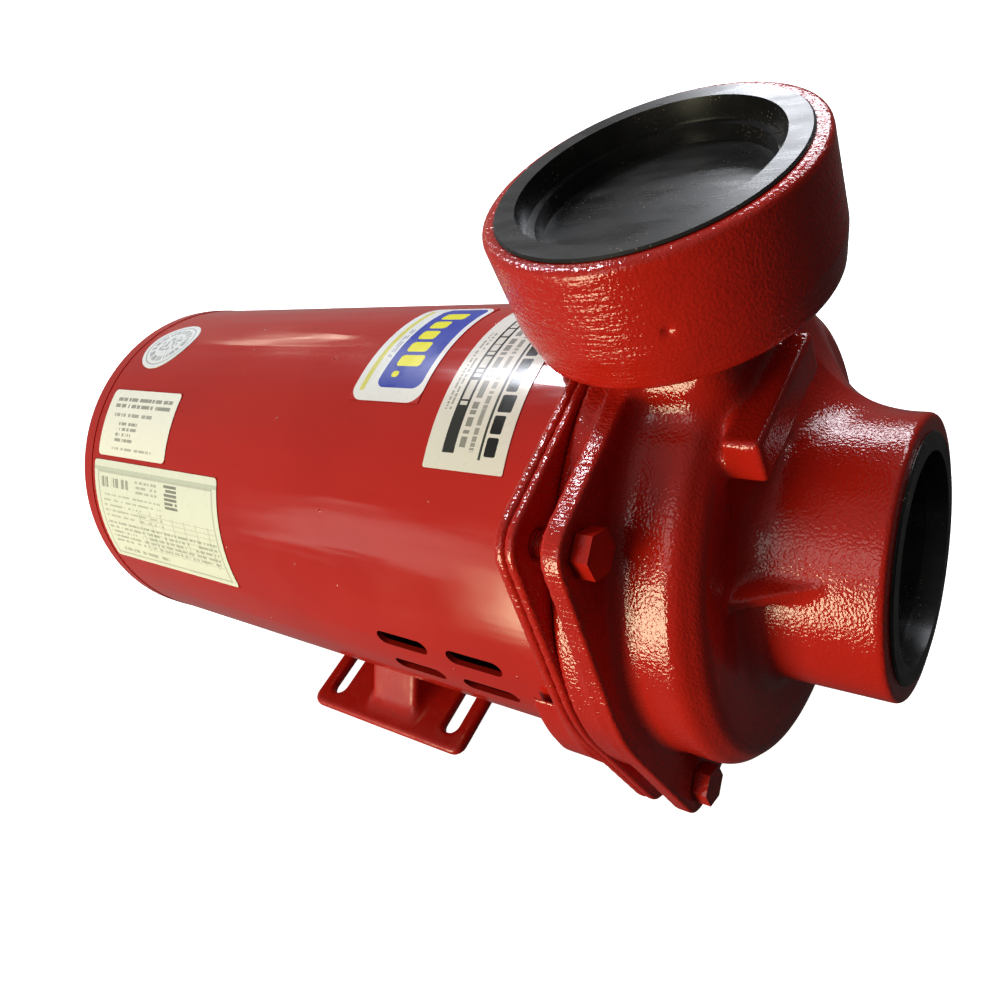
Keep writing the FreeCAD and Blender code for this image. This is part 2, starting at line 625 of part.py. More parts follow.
def make_cooling_fan():
    """Radial fan: a hub, a back disc and eight straight blades."""
    body = new_body("cooling_fan")
    end = "fan_x + fan_width"
    bore = "core_shaft_radius + fit_gap"
    hub = "core_shaft_radius + fan_hub_wall"
    turn(body, [("fan_x", bore), (end, bore), (end, "fan_radius"), (f"{end} - fan_disc", "fan_radius"),
                (f"{end} - fan_disc", hub), ("fan_x", hub)])
    sketch = new_sketch(body, "YZ_Plane", "fan_x + fan_disc / 2")
    root = f"{hub} - cut_over"
    outline(sketch, [("-blade_half", root), ("blade_half", root), ("blade_half", "fan_radius"),
                     ("-blade_half", "fan_radius")])
    repeat_round(body, pad(body, sketch, "fan_width - fan_disc"), FAN_BLADES)
    return body


def make_shaft():
    """Stepped shaft with a keyway for the impeller."""
    body = new_body("shaft")
    rear, rear_stop = "rear_bearing_x", "rear_bearing_x + rear_bearing_width + seat_end"
    front_stop = "front_bearing_x + front_bearing_width + seat_end"
    seal_start = "seal_plate_x - seal_pocket - seat_end"
    turn(body, [(rear, "0"), ("shaft_end_x", "0"), ("shaft_end_x", "thread_radius"),
                ("hub_end_x", "thread_radius"), ("hub_end_x", "seal_shaft_radius"),
                (seal_start, "seal_shaft_radius"), (seal_start, "slinger_seat"), (front_stop, "slinger_seat"),
                (front_stop, "front_bearing_bore"), ("front_bearing_x", "front_bearing_bore"),
                ("front_bearing_x", "core_shaft_radius"), (rear_stop, "core_shaft_radius"),
                (rear_stop, "rear_bearing_bore"), (rear, "rear_bearing_bore")])
    sketch = new_sketch(body, "XY_Plane", "seal_shaft_radius - key_depth")
    outline(sketch, [("key_x", "-key_width / 2"), ("hub_end_x + cut_over", "-key_width / 2"),
                     ("hub_end_x + cut_over", "key_width / 2"), ("key_x", "key_width / 2")])
    keyway = body.newObject("PartDesign::Pocket", "shaft_keyway")
    keyway.Profile = sketch
    keyway.Reversed = True
    bind(keyway, "Length", "key_depth + cut_over")
    return body


def races(end, start, width, bore, radius, balls, ball_radius):
    """Outer race, inner race and balls of one deep-groove bearing."""
    stop, middle = f"{start} + {width}", f"{start} + {width} / 2"
    mean = f"({bore} + {radius}) / 2"
    wall = f"{ball_radius} * race_shoulder"
    run = f"{ball_radius} + fit_gap"
    shoulder_in, shoulder_out = f"{mean} - {wall}", f"{mean} + {wall}"
    chord, floor = f"{ball_radius} * race_chord", f"{ball_radius} * race_floor"

    def race(label, edge, shoulder, root):
        return turned(label, [(start, edge), (stop, edge), (stop, shoulder),
                              (f"{middle} + {chord}", shoulder), (f"{middle} + {floor}", root),
                              (f"{middle} - {floor}", root),
                              (f"{middle} - {chord}", shoulder), (start, shoulder)])

    race(f"{end}_bearing_inner_race", f"{bore} + fit_gap / 10", shoulder_in, f"{mean} - ({run})")
    race(f"{end}_bearing_outer_race", radius, shoulder_out, f"{mean} + ({run})")
    members = []
    for index in range(balls):
        y, z = on_circle(mean, 360 * index / balls)
        ball = doc.addObject("Part::Sphere", f"{end}_ball_{index}")
        bind(ball, "Radius", ball_radius)
        members.append(place(ball, middle, y, z))
    group(f"{end}_bearing_balls", members)


def make_bearings():
    for end, balls in (("rear", REAR_BALLS), ("front", FRONT_BALLS)):
        races(end, f"{end}_bearing_x", f"{end}_bearing_width", f"{end}_bearing_bore", f"{end}_bearing_radius",
              balls, f"{end}_ball")
    ring("wave_washer", "rear_bearing_x - washer_rear", "rear_bearing_x - washer_front",
         "rear_bearing_radius - washer_width", "rear_bearing_radius - washer_edge")


# ---------------------------------------------------------------- shaft seal and impeller

def make_seal():
    """Slinger, ceramic seat in its rubber cup, carbon face, collar and spring."""
    ring("water_slinger", "seal_plate_x - slinger_rear", "seal_plate_x - slinger_front",
         "slinger_seat + fit_gap", "slinger_radius")
    cup, bore = "seal_cup_radius", "seal_shaft_radius + seal_bore_gap"
    inner = f"{cup} - seal_cup_wall"
    start, stop = "seal_plate_x - seal_pocket + press_gap", "seal_plate_x + seal_cup_front"
    floor = f"{start} + seal_cup_floor"
    turned("seal_seat_cup", [(start, bore), (floor, bore), (floor, inner), (stop, inner),
                             (stop, f"{cup} - press_gap"), (start, f"{cup} - press_gap")])
    ring("seal_seat", f"{floor} + fit_gap", "seal_plate_x + seat_front", "seal_shaft_radius + seat_bore_gap",
         f"{inner} - fit_gap")
    ring("seal_face", "seal_plate_x + face_rear", "seal_plate_x + face_front",
         "seal_shaft_radius + face_bore_gap", f"{cup} - face_inset")
    ring("seal_collar", "seal_plate_x + face_front", "seal_plate_x + collar_front",
         "seal_shaft_radius + fit_gap", f"{cup} - collar_inset")
    coil = doc.addObject("Part::Helix", "seal_coil")
    bind(coil, "Radius", "spring_radius")
    bind(coil, "Pitch", "spring_pitch")
    bind(coil, "Height", "spring_pitch * spring_coils")
    wire = doc.addObject("Part::Circle", "seal_wire")
    bind(wire, "Radius", "spring_wire")
    wire.Placement = Placement(Vector(0, 0, 0), Rotation(Vector(1, 0, 0), 90))
    bind(wire, "Placement.Base.x", "spring_radius")
    spring = doc.addObject("Part::Sweep", "seal_spring")
    spring.Sections = [wire]
    spring.Spine = (coil, ["Edge1"])
    spring.Solid = True
    spring.Frenet = True
    place(spring, "seal_plate_x + collar_front + spring_wire + fit_gap", rotation=ALONG_X)


def make_impeller():
    """Closed impeller: hub, back shroud, six backward-curved vanes, front shroud and eye ring."""
    body = new_body("impeller")
    back, front = "impeller_x + shroud", "impeller_x + impeller_width - shroud"
    bore = "seal_shaft_radius + fit_gap"
    recess, rim = "impeller_x + back_recess", "impeller_x + impeller_width"
    turn(body, [(recess, bore), ("hub_end_x", bore), ("hub_end_x", "hub_radius"),
                ("impeller_x + hub_step", "hub_step_radius"), (back, "hub_root_radius"),
                (back, "impeller_radius"),
                ("impeller_x", "impeller_radius"), ("impeller_x", "back_recess_radius"),
                (recess, "back_recess_radius")])
    sketch = new_sketch(body, "YZ_Plane", f"{back} - cut_over / 2")
    vane_outline(sketch)
    repeat_round(body, pad(body, sketch, "impeller_width - 2 * shroud + cut_over"), VANES)
    neck = "eye_radius - eye_wall"
    turn(body, [(front, neck), ("eye_x", neck), ("eye_x", "eye_radius"), (rim, "eye_radius"),
                (rim, "impeller_radius"), (front, "impeller_radius")])
    keyway = new_sketch(body, "XY_Plane")
    half = "(key_width / 2 + fit_gap)"
    outline(keyway, [("impeller_x + cut_over", f"-{half}"), ("hub_end_x + cut_over", f"-{half}"),
                     ("hub_end_x + cut_over", half), ("impeller_x + cut_over", half)])
    cut = body.newObject("PartDesign::Pocket", "impeller_keyway")
    cut.Profile = keyway
    cut.Reversed = True
    bind(cut, "Length", "seal_shaft_radius + key_depth + fit_gap")
    return body


def vane_outline(sketch):
    """One vane: a band between two arcs about the same centre, cut off inside and outside."""
    centre = Vector(value("vane_centre_y"), value("vane_centre_z"), 0)
    bands = (value("vane_curve"), value("vane_curve") + value("vane_thickness"))
    arcs = []
    for radius in bands:
        full = Part.Circle(centre, Vector(0, 0, 1), radius)
        cuts = []
        for limit in (value("vane_start"), value("impeller_radius - print_gap")):
            reach = centre.Length
            angle = math.acos((reach ** 2 + radius ** 2 - limit ** 2) / (2 * reach * radius))
            cuts.append(math.atan2(-centre.y, -centre.x) + angle)
        arcs.append(Part.ArcOfCircle(full, min(cuts), max(cuts)))
    first = sketch.GeometryCount
    inner, outer = arcs
    sketch.addGeometry(inner)
    sketch.addGeometry(outer)
    sketch.addGeometry(Part.LineSegment(inner.EndPoint, outer.EndPoint))
    sketch.addGeometry(Part.LineSegment(outer.StartPoint, inner.StartPoint))
    for a, p, b, q in ((0, 2, 2, 1), (2, 2, 1, 2), (1, 1, 3, 1), (3, 2, 0, 1)):
        sketch.addConstraint(Sketcher.Constraint("Coincident", first + a, p, first + b, q))
    for i, radius in enumerate(("vane_curve", "vane_curve + vane_thickness")):
        pin_point(sketch, first + i, 3, "vane_centre_y", "vane_centre_z")
        set_radius(sketch, first + i, radius)


def make_impeller_fixings():
    key = doc.addObject("Part::Box", "impeller_key")
    bind(key, "Length", "hub_end_x - key_x - 2 * key_end")
    bind(key, "Width", "key_width - 2 * fit_gap")
    bind(key, "Height", "2 * key_depth - 2 * fit_gap")
    place(key, "key_x + key_end", "-key_width / 2 + fit_gap", "seal_shaft_radius - key_depth + fit_gap")
    seat = "hub_end_x + nut_washer"
    ring("impeller_washer", "hub_end_x", seat, "thread_radius + press_gap", "nut_washer_radius")
    blank = hexagon("nut_blank", "nut_flats", "nut_height", seat)
    bore = cylinder("nut_bore", "thread_radius + press_gap", "nut_height + 2 * cut_over",
                    f"{seat} - cut_over")
    without("impeller_nut", blank, bore)


# ---------------------------------------------------------------- pump casing

def make_seal_plate():
    """Pump back plate with the pocket for the seal seat."""
    body = new_body("seal_plate")
    lug_plate(body, "seal_plate_x", "seal_plate_thickness")
    floor = "seal_plate_x - seal_pocket"
    rear, front = f"{floor} - seal_pocket_wall", "seal_plate_x + seal_plate_thickness + cut_over"
    turn(body, [(rear, "0"), ("seal_plate_x + cut_over", "0"),
                ("seal_plate_x + cut_over", "seal_boss_radius"), (rear, "seal_boss_radius")])
    turned_out(body, [(floor, "0"), (front, "0"), (front, "seal_cup_radius"), (floor, "seal_cup_radius")])
    sketch = new_sketch(body, "YZ_Plane")
    circle(sketch, "0", "0", "seal_shaft_radius + seal_bore_gap")
    pocket(body, sketch, both_ways=True)
    bolt_holes(body, "bolt_radius + press_gap")
    return body


def volute_outline(sketch, radius, near, far, top):
    """An eccentric round chamber whose sides run up, tangent, into the neck."""
    centre = Vector(value("volute_shift_y"), 0, 0)
    r = value(radius)
    tips = [Vector(value(far), value(top), 0), Vector(value(near), value(top), 0)]
    angles = []
    for tip, side in zip(tips, (-1, 1)):
        arm = tip - centre
        angles.append(math.atan2(arm.y, arm.x) + side * math.acos(r / arm.Length))
    arc = Part.ArcOfCircle(Part.Circle(centre, Vector(0, 0, 1), r), angles[1], angles[0] + 2 * math.pi)
    sketch.addGeometry(arc)
    sketch.addGeometry(Part.LineSegment(arc.EndPoint, tips[0]))
    sketch.addGeometry(Part.LineSegment(tips[0], tips[1]))
    sketch.addGeometry(Part.LineSegment(tips[1], arc.StartPoint))
    for kind, a, p, b, q in (("Tangent", 0, 2, 1, 1), ("Coincident", 1, 2, 2, 1),
                             ("Coincident", 2, 2, 3, 1), ("Tangent", 3, 2, 0, 1)):
        sketch.addConstraint(Sketcher.Constraint(kind, a, p, b, q))
    pin_point(sketch, 0, 3, "volute_shift_y", "0")
    set_radius(sketch, 0, radius)
    pin_point(sketch, 2, 1, far, top)
    pin_point(sketch, 3, 1, near, top)


def port_bore(name, face, thread, floor, throat):
    """Cutter for a port: plug stretch, relief groove, inner stretch, then a throat."""
    groove = f"{face} - plug_stretch"
    inner = f"{groove} - relief"
    end = f"{inner} - inner_stretch"
    deep = f"{thread} + relief_depth"
    mouth = f"{face} + cut_over"
    return turned(name, [(floor, "0"), (mouth, "0"), (mouth, thread), (groove, thread), (groove, deep),
                         (inner, deep), (inner, thread), (end, thread), (f"{end} - throat_cone", throat),
                         (floor, throat)])


def make_casing():
    """Volute casing: lug plate, spiral, neck, discharge boss, suction nozzle and ribs in one casting."""
    face = "gasket_x + gasket_thickness"
    plate_x = f"{face} + lug_gap"
    flange = new_body("casing_flange")
    lug_plate(flange, plate_x, "casing_plate")
    bore = "chamber_radius - entry_step"
    turn(flange, [(face, bore), (f"{plate_x} + cut_over", bore), (f"{plate_x} + cut_over", "ring_radius"),
                  (face, "ring_radius")])
    spiral = new_body("casing_spiral")
    sketch = new_sketch(spiral, "YZ_Plane", f"{plate_x} + cut_over")
    volute_outline(sketch, "volute_radius", "neck_near_y", "neck_far_y", "boss_base + 2 * cut_over")
    block = pad(spiral, sketch, f"casing_front_x - ({plate_x}) - cut_over")
    doc.recompute()
    faces = block.Shape.Faces
    front = max(range(len(faces)), key=lambda i: faces[i].CenterOfMass.x)
    fillet = spiral.newObject("PartDesign::Fillet", "casing_rounding")
    fillet.Base = (block, [f"Face{front + 1}"])
    bind(fillet, "Radius", "casing_round")
    dish, open_x = "casing_front_x - dish", "casing_front_x + cut_over"
    turned_out(spiral, [(dish, "nozzle_radius - dish_inner"), (open_x, "nozzle_radius - dish_inner"),
                        (open_x, "volute_radius - dish_outer"), (dish, "nozzle_radius + dish_inner")])
    nozzle = turned("casing_nozzle", [
        ("chamber_x", "0"), ("nozzle_x", "0"), ("nozzle_x", "nozzle_radius - nozzle_bevel"),
        ("nozzle_x - nozzle_bevel", "nozzle_radius"), ("chamber_x", "nozzle_radius")])
    boss = turned("casing_boss", [
        ("boss_base", "0"), ("boss_top", "0"), ("boss_top", "boss_radius - rim_bevel"),
        ("boss_top - rim_bevel", "boss_radius"), ("boss_base + boss_bevel_height", "boss_radius"),
        ("boss_base", "boss_radius - boss_bevel")])
    place(boss, "boss_x", "boss_y", rotation=X_TO_UP)
    neck = new_body("casing_neck")
    sketch = new_sketch(neck, "YZ_Plane", f"{face} + cut_over / 2")
    outline(sketch, [("neck_near_y - neck_spread_near", "boss_base - neck_height"),
                     ("neck_far_y + neck_spread_far", "boss_base - neck_height"),
                     ("neck_far_y", "boss_base + 2 * cut_over"), ("neck_near_y", "boss_base + 2 * cut_over")])
    pad(neck, sketch, "casing_front_x + neck_front - gasket_x")
    rib = doc.addObject("Part::Box", "casing_rib")
    bind(rib, "Length", "rib_front_x - casing_front_x + rib_root")
    bind(rib, "Width", "rib_length")
    bind(rib, "Height", "rib_height")
    place(rib, "casing_front_x - rib_root", "rib_near_y", "rib_top - rib_height")
    gusset = new_body("casing_gusset")
    sketch = new_sketch(gusset, "XY_Plane", "gusset_z")
    root, inner = "casing_front_x - gusset_root", "-nozzle_radius + gusset_inner"
    outline(sketch, [(root, inner), (root, "-nozzle_radius - gusset_outer"),
                     ("gusset_end_x", "-nozzle_radius + gusset_tip"), ("gusset_end_x", inner)])
    pad(gusset, sketch, "gusset_thickness")
    solid = joined("casing_solid", [flange, spiral, nozzle, boss, neck, rib, gusset])

    chamber = new_body("casing_chamber")
    chamber_start = "impeller_x - chamber_back"
    sketch = new_sketch(chamber, "YZ_Plane", chamber_start)
    volute_outline(sketch, "volute_radius - casing_wall", "neck_near_y + neck_near_wall",
                   "neck_far_y - neck_far_wall", "boss_base + neck_roof")
    pad(chamber, sketch, f"chamber_x - ({chamber_start})")
    entry = ring("casing_entry", "gasket_x - cut_over", "impeller_x", "0", "chamber_radius")
    suction = port_bore("casing_suction_bore", "nozzle_x", "suction_thread", "chamber_x - cut_over",
                        "suction_throat")
    throat_floor = "boss_top - plug_stretch - relief - inner_stretch - throat_cone - cut_over"
    discharge = port_bore("casing_discharge_bore", "boss_top", "discharge_thread", throat_floor,
                          "discharge_thread - throat_step")
    place(discharge, "boss_x", "boss_y", rotation=X_TO_UP)
    cutters = [chamber, entry, suction, discharge]
    for index, (y, z) in enumerate(four_corners("lug_offset")):
        cutters.append(cylinder(f"casing_bolt_hole_{index}", "bolt_radius + tie_clearance",
                                "lug_gap + casing_plate + cut_over", "gasket_x", y, z))
        cutters.append(cylinder(f"casing_spot_face_{index}", "head_flats / 1.732051 + spot_face_gap",
                                "casing_front_x - gasket_x", f"{plate_x} + casing_plate", y, z))
    cutters.append(cylinder("casing_drain_hole", "drain_radius + press_gap", "drain_length + casing_wall",
                            "drain_x", "drain_y", "-volute_radius - cut_over", UPRIGHT))
    return without("volute_casing", solid, joined("casing_hollow", cutters))


def make_drain_plug():
    """Flush plug with a hexagon socket, screwed up into the lowest point of the chamber."""
    blank = cylinder("drain_blank", "drain_radius", "drain_length", "drain_x", "drain_y",
                     "-volute_radius + cut_over", UPRIGHT)
    socket = hexagon("drain_hexagon", "drain_flats", "drain_socket", "drain_x", "drain_y", "-volute_radius",
                     UPRIGHT)
    without("drain_plug", blank, socket)


def make_plug(label, face, rim, thread, opening):
    """Plastic transport plug: proud rim, push-in body and a dished floor with a stepped ring."""
    body = f"{thread} - print_gap"
    top, under = f"{face} + plug_rim", f"{face} + plug_lead"
    bottom = f"{face} - plug_depth"
    floor, step = f"{bottom} + plug_floor", f"{face} - plug_step"
    return turned(label, [
        (bottom, "0"), (bottom, f"{body} - plug_chamfer"), (f"{bottom} + plug_chamfer", body), (under, body),
        (under, rim), (f"{top} - rim_round", rim), (top, f"{rim} - rim_round"), (top, opening),
        (step, f"{opening} - plug_draft"), (step, f"{opening} - plug_ledge"),
        (floor, f"{opening} - plug_floor_edge"), (floor, "0")])


def make_plugs():
    make_plug("suction_plug", "nozzle_x", "suction_rim", "suction_thread", "suction_opening")
    discharge = make_plug("discharge_plug", "boss_top", "discharge_rim", "discharge_thread",
                          "discharge_opening")
    place(discharge, "boss_x", "boss_y", rotation=X_TO_UP)


# ---------------------------------------------------------------- labels

def wrapped(name, start_x, stop_x, start_degrees, stop_degrees):
    """A thin patch wrapped on the shell; degrees count round from the far side over the top."""
    outer = doc.addObject("Part::Cylinder", f"{name}_outer")
    inner = doc.addObject("Part::Cylinder", f"{name}_inner")
    bind(outer, "Radius", "shell_radius + label_lift + label_thickness")
    bind(inner, "Radius", "shell_radius + label_lift")
    for thing in (outer, inner):
        bind(thing, "Height", f"{stop_x} - ({start_x})")
    outer.Angle = stop_degrees - start_degrees
    place(inner, start_x, rotation=ALONG_X)
    place(outer, start_x, rotation=Rotation(Vector(1, 0, 0), start_degrees - 90).multiply(ANGLE_FROM_UP))
    return without(name, outer, inner)


def make_labels():
    for name, start_x, stop_x, start, stop in LABELS:
        wrapped(name, str(start_x), str(stop_x), start, stop)
    reach = "(seal_label_radius + seal_label_margin)"
    patch = wrapped("round_patch", f"seal_label_x - {reach}", f"seal_label_x + {reach}", *ROUND_LABEL_ARC)
    punch = cylinder("round_punch", "seal_label_radius", "2 * seal_label_punch", "seal_label_x", "0",
                     "shell_radius - seal_label_punch", UPRIGHT)
    disc = doc.addObject("Part::Common", "round_label")
    disc.Base = patch
    disc.Tool = punch


# name, first and last station along the shell, first and last angle
LABELS = (
    ("inspection_label", -114.6, -59, 110, 132.4),
    ("rating_plate", -117.5, -19.5, 134, 168.8),
    ("dealer_sticker", 47, 82, 67, 108),
    ("pump_label", 93, 127, 57, 123.5),
)


# ---------------------------------------------------------------- assembly and export

def build():
    make_shell()
    make_foot()
    make_front_shield()
    make_rear_shield()
    make_rear_cover()
    post_spots = [on_circle("post_circle", degrees) for degrees in POSTS]
    screws("rear_cover_screws", post_spots, "cover_screw_radius", "cover_screw_length", "cover_screw_flats",
           "cover_screw_head", "cover_end_x", 1)
    screws("tie_bolts", tie_spots(), "tie_radius", "shell_front_x - cover_x - tie_hidden", "tie_flats",
           "tie_head", "cover_x", 1)
    make_conduit_bush()
    make_terminal_board()
    make_terminal_studs()
    make_stator_core()
    make_stator_windings()
    make_rotor_core()
    make_rotor_end_rings()
    make_cooling_fan()
    make_shaft()
    make_bearings()
    make_seal()
    make_impeller()
    make_impeller_fixings()
    make_seal_plate()
    ring("casing_gasket", "gasket_x", "gasket_x + gasket_thickness", "gasket_radius", "ring_radius - 2")
    make_casing()
    make_drain_plug()
    screws("casing_bolts", four_corners("lug_offset"), "bolt_radius", "bolt_length", "head_flats",
           "head_height", "gasket_x + gasket_thickness + lug_gap + casing_plate", -1)
    make_plugs()
    make_labels()


SUBPARTS = (
    "motor_shell", "motor_foot", "front_end_shield", "rear_end_shield", "rear_cover", "rear_cover_screws",
    "tie_bolts", "conduit_bush", "terminal_board", "terminal_studs", "stator_core", "stator_windings", "rotor_core",
    "rotor_end_rings", "cooling_fan", "shaft", "rear_bearing_inner_race", "rear_bearing_outer_race",
    "rear_bearing_balls", "front_bearing_inner_race", "front_bearing_outer_race", "front_bearing_balls",
    "wave_washer", "water_slinger", "seal_seat_cup", "seal_seat", "seal_face", "seal_collar", "seal_spring",
    "impeller", "impeller_key", "impeller_washer", "impeller_nut", "seal_plate", "casing_gasket", "volute_casing",
    "drain_plug", "casing_bolts", "suction_plug", "discharge_plug", "round_label", "inspection_label",
    "rating_plate", "dealer_sticker", "pump_label",
)


def check_and_write():
    doc.recompute()
    for thing in doc.Objects:
        if {"Invalid", "Error"} & set(thing.State):
            raise RuntimeError(f"{thing.Label}: {thing.State}")
    os.makedirs("parts", exist_ok=True)
    for label in SUBPARTS:
        shape = doc.getObjectsByLabel(label)[0].Shape
        if shape.isNull() or not shape.isValid() or not shape.Solids:
            raise RuntimeError(f"{label}: no valid solid")
        shape.exportStep(f"parts/{label}.step")
        print(f"{label}: {len(shape.Solids)} solid(s), {shape.Volume / 1000:.1f} cm3")


build()
check_and_write()
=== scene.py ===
import itertools
import math

import bpy
import numpy as np
from mathutils import Matrix, Vector


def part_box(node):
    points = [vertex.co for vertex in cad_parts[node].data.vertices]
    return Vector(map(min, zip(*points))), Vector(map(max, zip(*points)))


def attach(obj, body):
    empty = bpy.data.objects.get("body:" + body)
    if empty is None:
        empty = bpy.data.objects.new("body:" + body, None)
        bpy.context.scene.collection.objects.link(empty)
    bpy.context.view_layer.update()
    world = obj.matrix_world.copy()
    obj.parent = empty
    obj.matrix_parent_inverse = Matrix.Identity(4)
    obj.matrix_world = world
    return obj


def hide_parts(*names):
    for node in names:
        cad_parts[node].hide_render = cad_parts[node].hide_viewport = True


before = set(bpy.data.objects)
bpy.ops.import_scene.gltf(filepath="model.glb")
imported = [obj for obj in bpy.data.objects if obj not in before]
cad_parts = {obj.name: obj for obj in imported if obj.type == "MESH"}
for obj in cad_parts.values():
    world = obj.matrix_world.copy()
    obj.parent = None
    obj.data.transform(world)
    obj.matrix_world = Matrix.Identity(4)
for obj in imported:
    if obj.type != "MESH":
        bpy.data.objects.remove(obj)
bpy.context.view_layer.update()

# The pump's lengths are in millimetres below, and z counts from the shaft. The camera, the lights
# and the floor are in metres and, like the materials' axes, count from the foot's mounting plane.
MM = 0.001
SHAFT_HEIGHT = 88.9
SHELL_RADIUS = 82.55
GRID_STEP = 1.0

# ---------------------------------------------------------------- camera and light

scene = bpy.context.scene
scene.view_settings.view_transform = "Standard"


def aim(obj, right, down, forward, position):
    """Turns a camera so that its own axes are these directions of the row frame."""
    axes = Matrix((right, [-c for c in down], [-c for c in forward])).transposed()
    obj.matrix_world = Matrix.Translation(position) @ axes.to_4x4()


camera = bpy.data.objects.new("camera", bpy.data.cameras.new("camera"))
scene.collection.objects.link(camera)
scene.camera = camera
camera.data.sensor_width = 36
camera.data.lens = 30.617
camera.data.shift_x = -0.0296
camera.data.shift_y = -0.0334
aim(camera,
    right=(0.80771, 0.46401, -0.36373),
    down=(0.09119, -0.70782, -0.70048),
    forward=(-0.58249, 0.53261, -0.61403),
    position=(0.28841, -0.18090, 0.32006))

MIDDLE = Vector((0.08, 0, 0.1))
LIGHT_DISTANCE = 2.0
WARM, COOL, GOLDEN, AMBER = (1, 0.95, 0.88), (0.90, 0.93, 1), (1, 0.93, 0.60), (1, 0.84, 0.66)
LIGHTS = (  # name, azimuth from +X and height in degrees, size in metres, watts, colour
    ("door", -112, 1, (0.78, 1.15), 40, GOLDEN),
    ("overhead", -101, 40, (0.8, 0.9), 4, WARM),
    ("window", 96, 24, (1.05, 0.46), 18, COOL),
    ("panel", -135, 12, (0.5, 0.6), 1.1, WARM),
    ("side_window", 72, 38, (0.7, 0.5), 9, COOL),
    ("skylight", 143, 50, (0.26, 0.42), 17, COOL),
    ("lamp", 148, 21, (0.3, 0.07), 0.5, AMBER),
)


def towards(azimuth, elevation):
    """The direction at this azimuth from +X and this height, in degrees."""
    a, e = math.radians(azimuth), math.radians(elevation)
    return Vector((math.cos(a) * math.cos(e), math.sin(a) * math.cos(e), math.sin(e)))


def area_light(name, azimuth, elevation, size, power, colour):
    """A rectangular light that faces the middle of the pump."""
    data = bpy.data.lights.new(name, "AREA")
    data.shape = "RECTANGLE"
    data.size, data.size_y = size
    data.energy = power
    data.color = colour
    light = bpy.data.objects.new(name, data)
    scene.collection.objects.link(light)
    light.location = MIDDLE + LIGHT_DISTANCE * towards(azimuth, elevation)
    light.rotation_mode = "QUATERNION"
    light.rotation_quaternion = (MIDDLE - light.location).to_track_quat("-Z", "Y")


for light_row in LIGHTS:
    area_light(*light_row)


def set_inputs(node, **numbers):
    """Sets a node's inputs by name, with _ for a space."""
    for name, number in numbers.items():
        node.inputs[name.replace("_", " ")].default_value = number


def make_sky():
    """A soft room, brighter over the motor's rear than in front of the pump."""
    world = bpy.data.worlds.new("world")
    scene.world = world
    world.use_nodes = True
    tree = world.node_tree
    direction = tree.nodes.new("ShaderNodeTexCoord").outputs["Generated"]
    facing = tree.nodes.new("ShaderNodeVectorMath")
    facing.operation = "DOT_PRODUCT"
    facing.inputs[1].default_value = towards(178, 38)
    tree.links.new(direction, facing.inputs[0])
    level = tree.nodes.new("ShaderNodeMapRange")
    level.interpolation_type = "SMOOTHSTEP"
    set_inputs(level, From_Min=-0.5, From_Max=0.9, To_Min=0.04, To_Max=0.30)
    tree.links.new(facing.outputs["Value"], level.inputs["Value"])
    tree.links.new(level.outputs[0], tree.nodes["Background"].inputs["Strength"])
    set_inputs(tree.nodes["Background"], Color=(1, 0.985, 0.96, 1))


make_sky()

# ---------------------------------------------------------------- node helpers


class Value:
    """A shader socket or a number that arithmetic builds Math nodes from."""

    def __init__(self, tree, source):
        self.tree, self.source = tree, source

    def math(self, operation, *others):
        node = self.tree.nodes.new("ShaderNodeMath")
        node.operation = operation
        for socket, item in zip(node.inputs, (self, *others)):
            item = item.source if isinstance(item, Value) else item
            if isinstance(item, (int, float)):
                socket.default_value = item
            else:
                self.tree.links.new(item, socket)
        return Value(self.tree, node.outputs[0])

    def __add__(self, other): return self.math("ADD", other)
    def __sub__(self, other): return self.math("SUBTRACT", other)
    def __mul__(self, other): return self.math("MULTIPLY", other)
    def __truediv__(self, other): return self.math("DIVIDE", other)
    def __gt__(self, other): return self.math("GREATER_THAN", other)
    def __lt__(self, other): return self.math("LESS_THAN", other)

    def between(self, low, high):
        return (self > low) * (self < high)

    def either(self, other):
        return self.math("MAXIMUM", other)

    def ramp(self, low, high, start=0.0, stop=1.0):
        """Goes smoothly from start to stop as the value goes from low to high."""
        node = self.tree.nodes.new("ShaderNodeMapRange")
        node.interpolation_type = "SMOOTHSTEP"
        self.tree.links.new(self.source, node.inputs["Value"])
        set_inputs(node, From_Min=low, From_Max=high, To_Min=start, To_Max=stop)
        return Value(self.tree, node.outputs[0])


